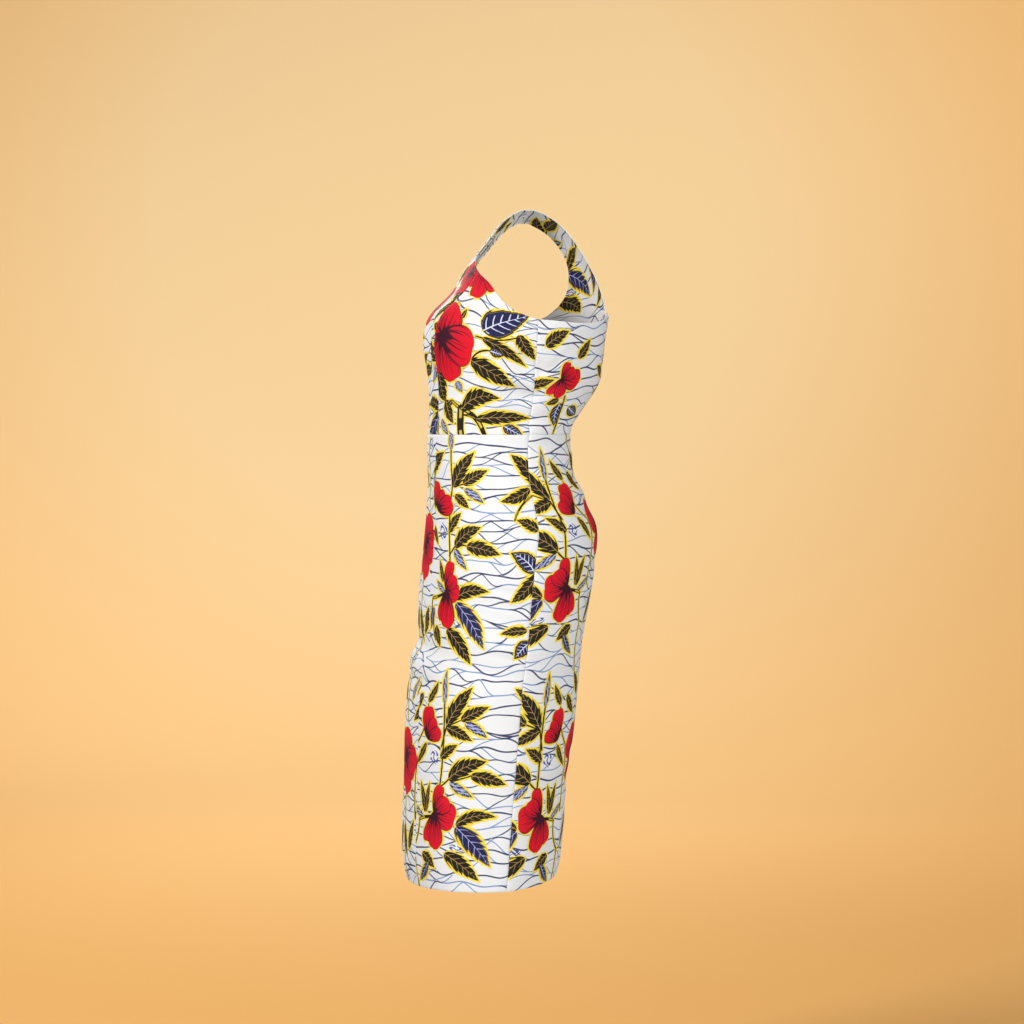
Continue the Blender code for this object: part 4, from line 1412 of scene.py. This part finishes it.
def clothMaterial(look):
    made, tree, shader = newMaterial("print_cotton_cloth", {"Specular IOR Level": 0.07})
    printed = useGroup(tree, printGroup())
    flat = attribute(tree, "cloth")
    weave = weaveHeight(tree, flat, look["threadsPerMetre"])
    slub = noise(tree, flat, look["slubPerMetre"], 3.0)
    shaded = (weave * 0.03 + slub * 0.03).unit()
    colour = mixColour(tree, shaded, printed.outputs["Colour"], look["shade"])
    rough = 0.62 - Term(tree, printed.outputs["Ink"]) * 0.06 + slub * 0.08
    socketOf(tree, colour, shader.inputs["Base Color"])
    socketOf(tree, rough, shader.inputs["Roughness"])
    normal = bump(tree, weave * 0.5 + slub * 0.5, 0.25, 0.00025)
    socketOf(tree, normal, shader.inputs["Normal"])
    return made


# The cloth pieces


# Each point moved towards its neighbour in the grid, along the first and last rows and
# columns, so that the edges stand a hair inside the seam lines.
def drawnIn(points):
    inset = np.zeros_like(points)
    for axis in (0, 1):
        line, moved = np.moveaxis(points, axis, 0), np.moveaxis(inset, axis, 0)
        moved[0] += unitVectors(line[1] - line[0]) * cloth["seamGap"]
        moved[-1] += unitVectors(line[-2] - line[-1]) * cloth["seamGap"]
    return points + inset


def makeCloth(name, places, low, high, material):
    points, normal, flat = clothPoints(places, low, high)
    rows, columns = points.shape[:2]
    outer = drawnIn(points)
    both = np.concatenate([outer, outer - cloth["thick"] * normal])
    faces = wallFaces(rows, columns)
    piece = addMesh(name + "_cloth", both, faces, material, cloth["sharpFrom"])
    # the inner face takes the print of the place that it backs, and the rim takes none
    cells = (rows - 1) * (columns - 1)
    rim = 4 * (len(faces) - 2 * cells)
    for label, values in printAttributes(name, flat, faces[:cells]).items():
        back = values.reshape(cells, 4, 3)[:, ::-1].reshape(-1, 3)
        empty = np.tile(emptyPlaces[label.rstrip("0123456789")], (rim, 1))
        giveVectors(piece, label, "CORNER", np.concatenate([values, back, empty]))
    giveFlat(piece, np.concatenate([flat.reshape(-1, 2)] * 2))
    finishPiece(piece, name)
    return piece


cottonPrint = clothMaterial(clothLook)
for name, (places, low, high) in cutPieces().items():
    piece = makeCloth(name, places, low, high, cottonPrint)
print("the ten cloth pieces")

# The zip

zipSizes = {
    "bottom": -0.545,
    "tapeTop": -0.1642,
    "tapeEdge": 0.0009,  # from the centre back to the tape's near edge
    "tapeWide": 0.0131,
    "tapeDeep": 0.0017,  # under the cloth's face
    "tapeThick": 0.0008,
    "tapeRows": 170,
    "tapeColumns": (0, 0.02, 0.10, 0.16, 0.40, 0.70, 0.90, 0.98, 1.0),
    "tapeBead": (-1, 1.0, 0.8, 0, 0, 0, 0, 0.3, -1),  # a thicker edge beside the coil
    "bead": 0.00022,
    "coilTop": -0.1730,
    "coilEnds": (0.004, 0.002),  # from the tape's bottom, and short of the coil's top
    "coilMiddle": 0.00105,
    "coilHalf": 0.00135,
    "coilDeep": 0.00345,
    "coilRound": 0.00058,
    "coilPitch": 0.00125,
    "coilBlunt": 0.7,
    "wire": 0.00031,
    "cord": 0.00048,  # the coil is wound round it
    "cordMiddle": 1.25,  # over the coil's
    "stitchFromEdge": 0.0028,
    "stitchPitch": 0.0027,
    "stitchLong": 0.0019,
    "stitchEnds": (0.006, 0.004),  # from the tape's bottom and top
    "thread": 0.00019,
}


# Points a given depth under the cloth's face, at places across and up the centre back.
def underBack(across, height, depth):
    level = levelAt(np.zeros(height.size), height.ravel() - body["wall"]).reshape(height.shape)
    turned = np.full_like(height, 0.01)
    away = smoothSurface(turned, level) - smoothSurface(turned * 0, level)
    angle = across * turned / np.linalg.norm(away, axis=-1)
    waist = body["waist"] + body["wall"]
    depth = depth + cloth["seamDip"] * bell(height - waist, cloth["waistDipWide"])
    return creasedSurface(angle, level, depth)


def makeTape(z, name, side, material):
    across = z["tapeEdge"] + z["tapeWide"] * np.array(z["tapeColumns"])
    bead = z["bead"] * np.array(z["tapeBead"])
    u, v = np.meshgrid(across, np.linspace(z["bottom"], z["tapeTop"], z["tapeRows"]))
    outer = underBack(side * u, v, z["tapeDeep"] - bead * 0.4)
    inner = underBack(side * u, v, z["tapeDeep"] + z["tapeThick"] + bead)
    walls = np.concatenate([outer[:, ::side], inner[:, ::side]])
    piece = addMesh(name + "_woven", walls, wallFaces(*u.shape)[:, ::-1], material, 60)
    flat = np.stack([u, v], -1).reshape(-1, 2)
    giveFlat(piece, np.concatenate([flat, flat]))
    finishPiece(piece, name)


# A tube round a line of points: two directions across the line carry its circle.
def tube(line, first, second, radius, sides):
    turn = fullTurn(sides)
    circle = np.cos(turn)[:, None] * first[:, None, :] + np.sin(turn)[:, None] * second[:, None, :]
    return line[:, None, :] + radius * circle


# A joined piece of nylon, whose flat places are its own across and up.
def makeNylon(name, shapes, node, material):
    points, faces = joined(shapes)
    piece = addMesh(name, points, faces, material)
    giveFlat(piece, points[:, [0, 2]])
    finishPiece(piece, node)


# A coil of wire on each side: across is a blunted cosine, depth a sine, and height goes
# up a pitch a turn, half a turn apart on the two sides.
def makeCoil(z, material):
    shapes = []
    sides, cordSides = 5, 6
    start, short = z["coilEnds"]
    turns = np.arange(0, (z["coilTop"] - z["bottom"] - start - short) / z["coilPitch"], 1 / 8)
    for side in (1, -1):
        t = turns * 2 * math.pi
        height = z["bottom"] + start + z["coilPitch"] * (turns + (0.5 if side < 0 else 0))
        across = z["coilMiddle"] + z["coilHalf"] * blunt(np.cos(t), z["coilBlunt"])
        line = underBack(side * across, height, z["coilDeep"] + z["coilRound"] * np.sin(t))
        along = unitVectors(np.gradient(line, axis=0))
        first = unitVectors(np.cross(along, [0, 0, 1]))
        wire = tube(line, first, np.cross(along, first), z["wire"], sides)
        shapes.append((wire, ringFaces(len(line), sides)))

        height = np.linspace(z["bottom"] + 0.001, z["coilTop"], 150)
        core = underBack(side * z["coilMiddle"] * z["cordMiddle"], height, z["coilDeep"])
        first, second = (np.broadcast_to(axis, core.shape) for axis in ([1.0, 0, 0], [0, 1.0, 0]))
        cord = tube(core, first, second, z["cord"], cordSides)
        shapes.append((cord, ringFaces(len(core), cordSides)[:, ::-1]))
    makeNylon("zip_coil", shapes, "zip_chain", material)


# Each stitch is a short thread that dips into the tape and thins at both ends.
def makeStitches(z, material):
    shapes = []
    rings, sides = 5, 5
    share = np.linspace(-0.5, 0.5, rings)
    low, high = z["stitchEnds"]
    heights = np.arange(z["bottom"] + low, z["tapeTop"] - high, z["stitchPitch"])
    up = heights[:, None] + share * z["stitchLong"]
    depth = z["tapeDeep"] + z["tapeThick"] + z["thread"] * (1.1 - 28.0 * share**4)
    radius = np.tile(z["thread"] * (1 - 0.5 * (2 * share) ** 4), len(heights))[:, None, None]
    starts = np.arange(len(heights)) * rings * sides
    faces = (ringFaces(rings, sides) + starts[:, None, None]).reshape(-1, 4)
    for side in (1, -1):
        across = side * (z["tapeEdge"] + z["tapeWide"] - z["stitchFromEdge"])
        line = underBack(across, up, depth)
        along = unitVectors(line[:, -1] - line[:, 0]).repeat(rings, 0)
        first = unitVectors(np.cross(along, [0, 1, 0]))
        points = tube(line.reshape(-1, 3), first, np.cross(along, first), radius, sides)
        shapes.append((points, faces))
    makeNylon("zip_stitches", shapes, None, material)


sliderSizes = {
    "seat": (0.104, 0.114966, -0.164),
    "out": (0.0, 0.99757, -0.06970),
    # middle across and up, half width and height, bluntness, narrowing below the
    # shoulders, inner and outer face, rounding of the rim
    "plates": [
        (0, -0.0028, 0.0028, 0.0049, 0.45, 0.20, -0.0029, -0.0021, 0.0003),  # outer body
        (0, -0.0028, 0.0028, 0.0049, 0.45, 0.20, -0.0045, -0.0037, 0.0003),  # inner body
        (0, 0.0004, 0.0010, 0.0016, 0.5, 0, -0.0038, -0.0028, 0.0001),  # post
        (0.0021, -0.0044, 0.00035, 0.0030, 0.5, 0, -0.0038, -0.0028, 0.0001),  # rails
        (-0.0021, -0.0044, 0.00035, 0.0030, 0.5, 0, -0.0038, -0.0028, 0.0001),
        (0, 0.0, 0.0005, 0.0018, 0.5, 0, -0.0024, 0.0006, 0.0001),  # the bridge's foot
    ],
    "bridgeOut": 0.00195,
    "bridgeHole": (0.0010, 0.0012),  # half sizes, out and up
    "bridgeRim": (0.00175, 0.0022),
    "bridgeHalf": 0.0005,
    "bridgeBlunt": 0.55,
    # shares from the hole to the rim, and of the half thickness
    "bridgeSection": [(0.0, 0.5), (0.12, 0.85), (0.35, 1), (0.65, 1), (0.88, 0.85), (1.0, 0.5)],
}

pullSizes = {
    "axis": (0.104, 0.116911, -0.164136),
    "top": 0.00055,
    "middle": -0.0097,
    "halfHeight": 0.01025,
    "halfWidth": 0.0017,
    "flare": 0.0009 / 0.0205,  # the half width grows by this down the tab
    "eye": (0.00105, 0.00145),  # half width and height
    "eyeMiddle": -0.0020,
    "thick": 0.0010,
    # shares from the eye to the rim, and of the thickness
    "section": [
        (0.0, 0.30), (0.03, 0.44), (0.10, 0.50), (0.35, 0.47), (0.60, 0.42),
        (0.84, 0.44), (0.93, 0.50), (0.98, 0.40), (1.0, 0.22),
    ],
}


# A squared oval: half width times the blunted sine, half height times the blunted cosine.
def squaredOval(turn, half, tall, power):
    return np.stack([half * blunt(np.sin(turn), power), tall * blunt(np.cos(turn), power)], -1)


# Rings of (x, depth, z) at shares of the way from one outline to another.
def ringsBetween(inner, outer, section):
    share, depth = np.array(section).T[..., None]
    flat = inner + (outer - inner) * share[..., None]
    return np.stack([flat[..., 0], np.broadcast_to(depth, flat.shape[:2]), flat[..., 1]], -1)


# A section of a ring on both sides of its middle plane, out along one and back on the other.
def bothSides(section, thick):
    there = [(share, thick * part) for share, part in section]
    return there + [(share, -deep) for share, deep in there[::-1]]


# A flat plate with rounded rims: rings of its outline, drawn in at both faces.
def plate(outline, low, high, rim):
    middle = outline.mean(0)
    size = np.abs(outline - middle).max()
    face = [(0.001, 0.0), (1 - rim / size, 0.0), (1 - 0.3 * rim / size, 0.3 * rim), (1, rim)]
    section = [(share, low + deep) for share, deep in face]
    section += [(share, high - deep) for share, deep in face[::-1]]
    rings = ringsBetween(middle, outline, section)
    return rings, ringFaces(*rings.shape[:2])


# Plates under a bridge, which is a flattened ring on edge that holds the pull.
def makeSlider(s, material):
    shapes = []
    turn = fullTurn(40)
    for across, up, half, tall, power, waist, *faces in s["plates"]:
        outline = squaredOval(turn, half, tall, power)
        share = (outline[:, 1] + tall) / (2 * tall)
        outline[:, 0] *= 1 - waist + waist * np.clip(share * 1.6, 0, 1) ** 2
        shapes.append(plate(outline + [across, up], *faces))
    loop = squaredOval(turn, 1, 1, s["bridgeBlunt"])[:, ::-1]
    section = bothSides(s["bridgeSection"], -s["bridgeHalf"])
    rings = ringsBetween(loop * s["bridgeHole"], loop * s["bridgeRim"], section)
    rings = rings[..., [1, 0, 2]] + [0, s["bridgeOut"], 0]
    shapes.append((rings, ringFaces(*rings.shape[:2], closed=True)[:, ::-1]))
    points, faces = joined(shapes)
    out = np.array(s["out"])
    up = np.cross([1.0, 0, 0], out)
    points = points @ np.array([[1.0, 0, 0], out, up]) + s["seat"]
    piece = addMesh("zip_slider_cast", points, faces, material, 45)
    finishPiece(piece, "zip_slider")


# A tab that widens down its length, round an eye near its top.
def makePull(s, material):
    turn = fullTurn(56)
    up = s["middle"] + s["halfHeight"] * blunt(np.cos(turn), 0.8)
    half = s["halfWidth"] + s["flare"] * (s["top"] - up)
    outline = np.stack([half * blunt(np.sin(turn), 0.45), up], -1)
    eye = squaredOval(turn, *s["eye"], 0.5) + [0, s["eyeMiddle"]]
    rings = ringsBetween(eye, outline, bothSides(s["section"], s["thick"])) + s["axis"]
    faces = ringFaces(*rings.shape[:2], closed=True)
    piece = addMesh("zip_pull_tab", rings, faces, material, 50)
    finishPiece(piece, "zip_pull", "zip_pull")


# Mottled nylon with painted shade: its colour is darker where its bump is low, in its hollows. A
# tape's is also woven in zigzag ribs.
def nylonMaterial(name, base, rough, ribs):
    made, tree, shader = newMaterial(name, {"Specular IOR Level": 0.3})
    flat = attribute(tree, "cloth")
    height = mottled = noise(tree, flat, 900.0)
    if ribs:
        u, v, _ = splitVector(tree, flat)
        zigzag = abs((u * 260.0).part() - 0.5) * 2.0
        height = abs((v * 2400.0 + zigzag * 2.2).sine()) * 0.7 + mottled * 0.3
    # painted shade in the hollows: darker where the height is low
    colour = mixColour(tree, (1.0 - height) * 0.22, base, tuple(0.62 * part for part in base))
    socketOf(tree, colour, shader.inputs["Base Color"])
    socketOf(tree, rough[0] + mottled * rough[1], shader.inputs["Roughness"])
    socketOf(tree, bump(tree, height, 0.3, 0.0002), shader.inputs["Normal"])
    return made


# Cloudy nickel with fine brush lines up and down.
def nickelMaterial():
    made, tree, shader = newMaterial("nickel_plate", {"Metallic": 1.0})
    place = tree.nodes.new("ShaderNodeTexCoord").outputs["Object"]
    stretch = tree.nodes.new("ShaderNodeMapping")
    stretch.inputs["Scale"].default_value = (1.0, 1.0, 0.06)
    tree.links.new(place, stretch.inputs["Vector"])
    brushed = noise(tree, stretch.outputs["Vector"], 9000.0, 3.0)
    cloudy = noise(tree, place, 700.0, 3.0)
    colour = mixColour(tree, cloudy * 0.5, (0.66, 0.64, 0.605), (0.53, 0.515, 0.49))
    socketOf(tree, colour, shader.inputs["Base Color"])
    socketOf(tree, 0.24 + brushed * 0.10 + cloudy * 0.10, shader.inputs["Roughness"])
    socketOf(tree, bump(tree, brushed, 0.12, 0.00005), shader.inputs["Normal"])
    return made


tapeWeave = nylonMaterial("zip_tape_weave", (0.80, 0.79, 0.76), (0.60, 0.25), True)
nylon = nylonMaterial("zip_nylon", (0.80, 0.795, 0.77), (0.34, 0.12), False)
nickel = nickelMaterial()
makeTape(zipSizes, "zip_tape_left", 1, tapeWeave)
makeTape(zipSizes, "zip_tape_right", -1, tapeWeave)
makeCoil(zipSizes, nylon)
makeStitches(zipSizes, nylon)
makeSlider(sliderSizes, nickel)
makePull(pullSizes, nickel)
print("the zip")
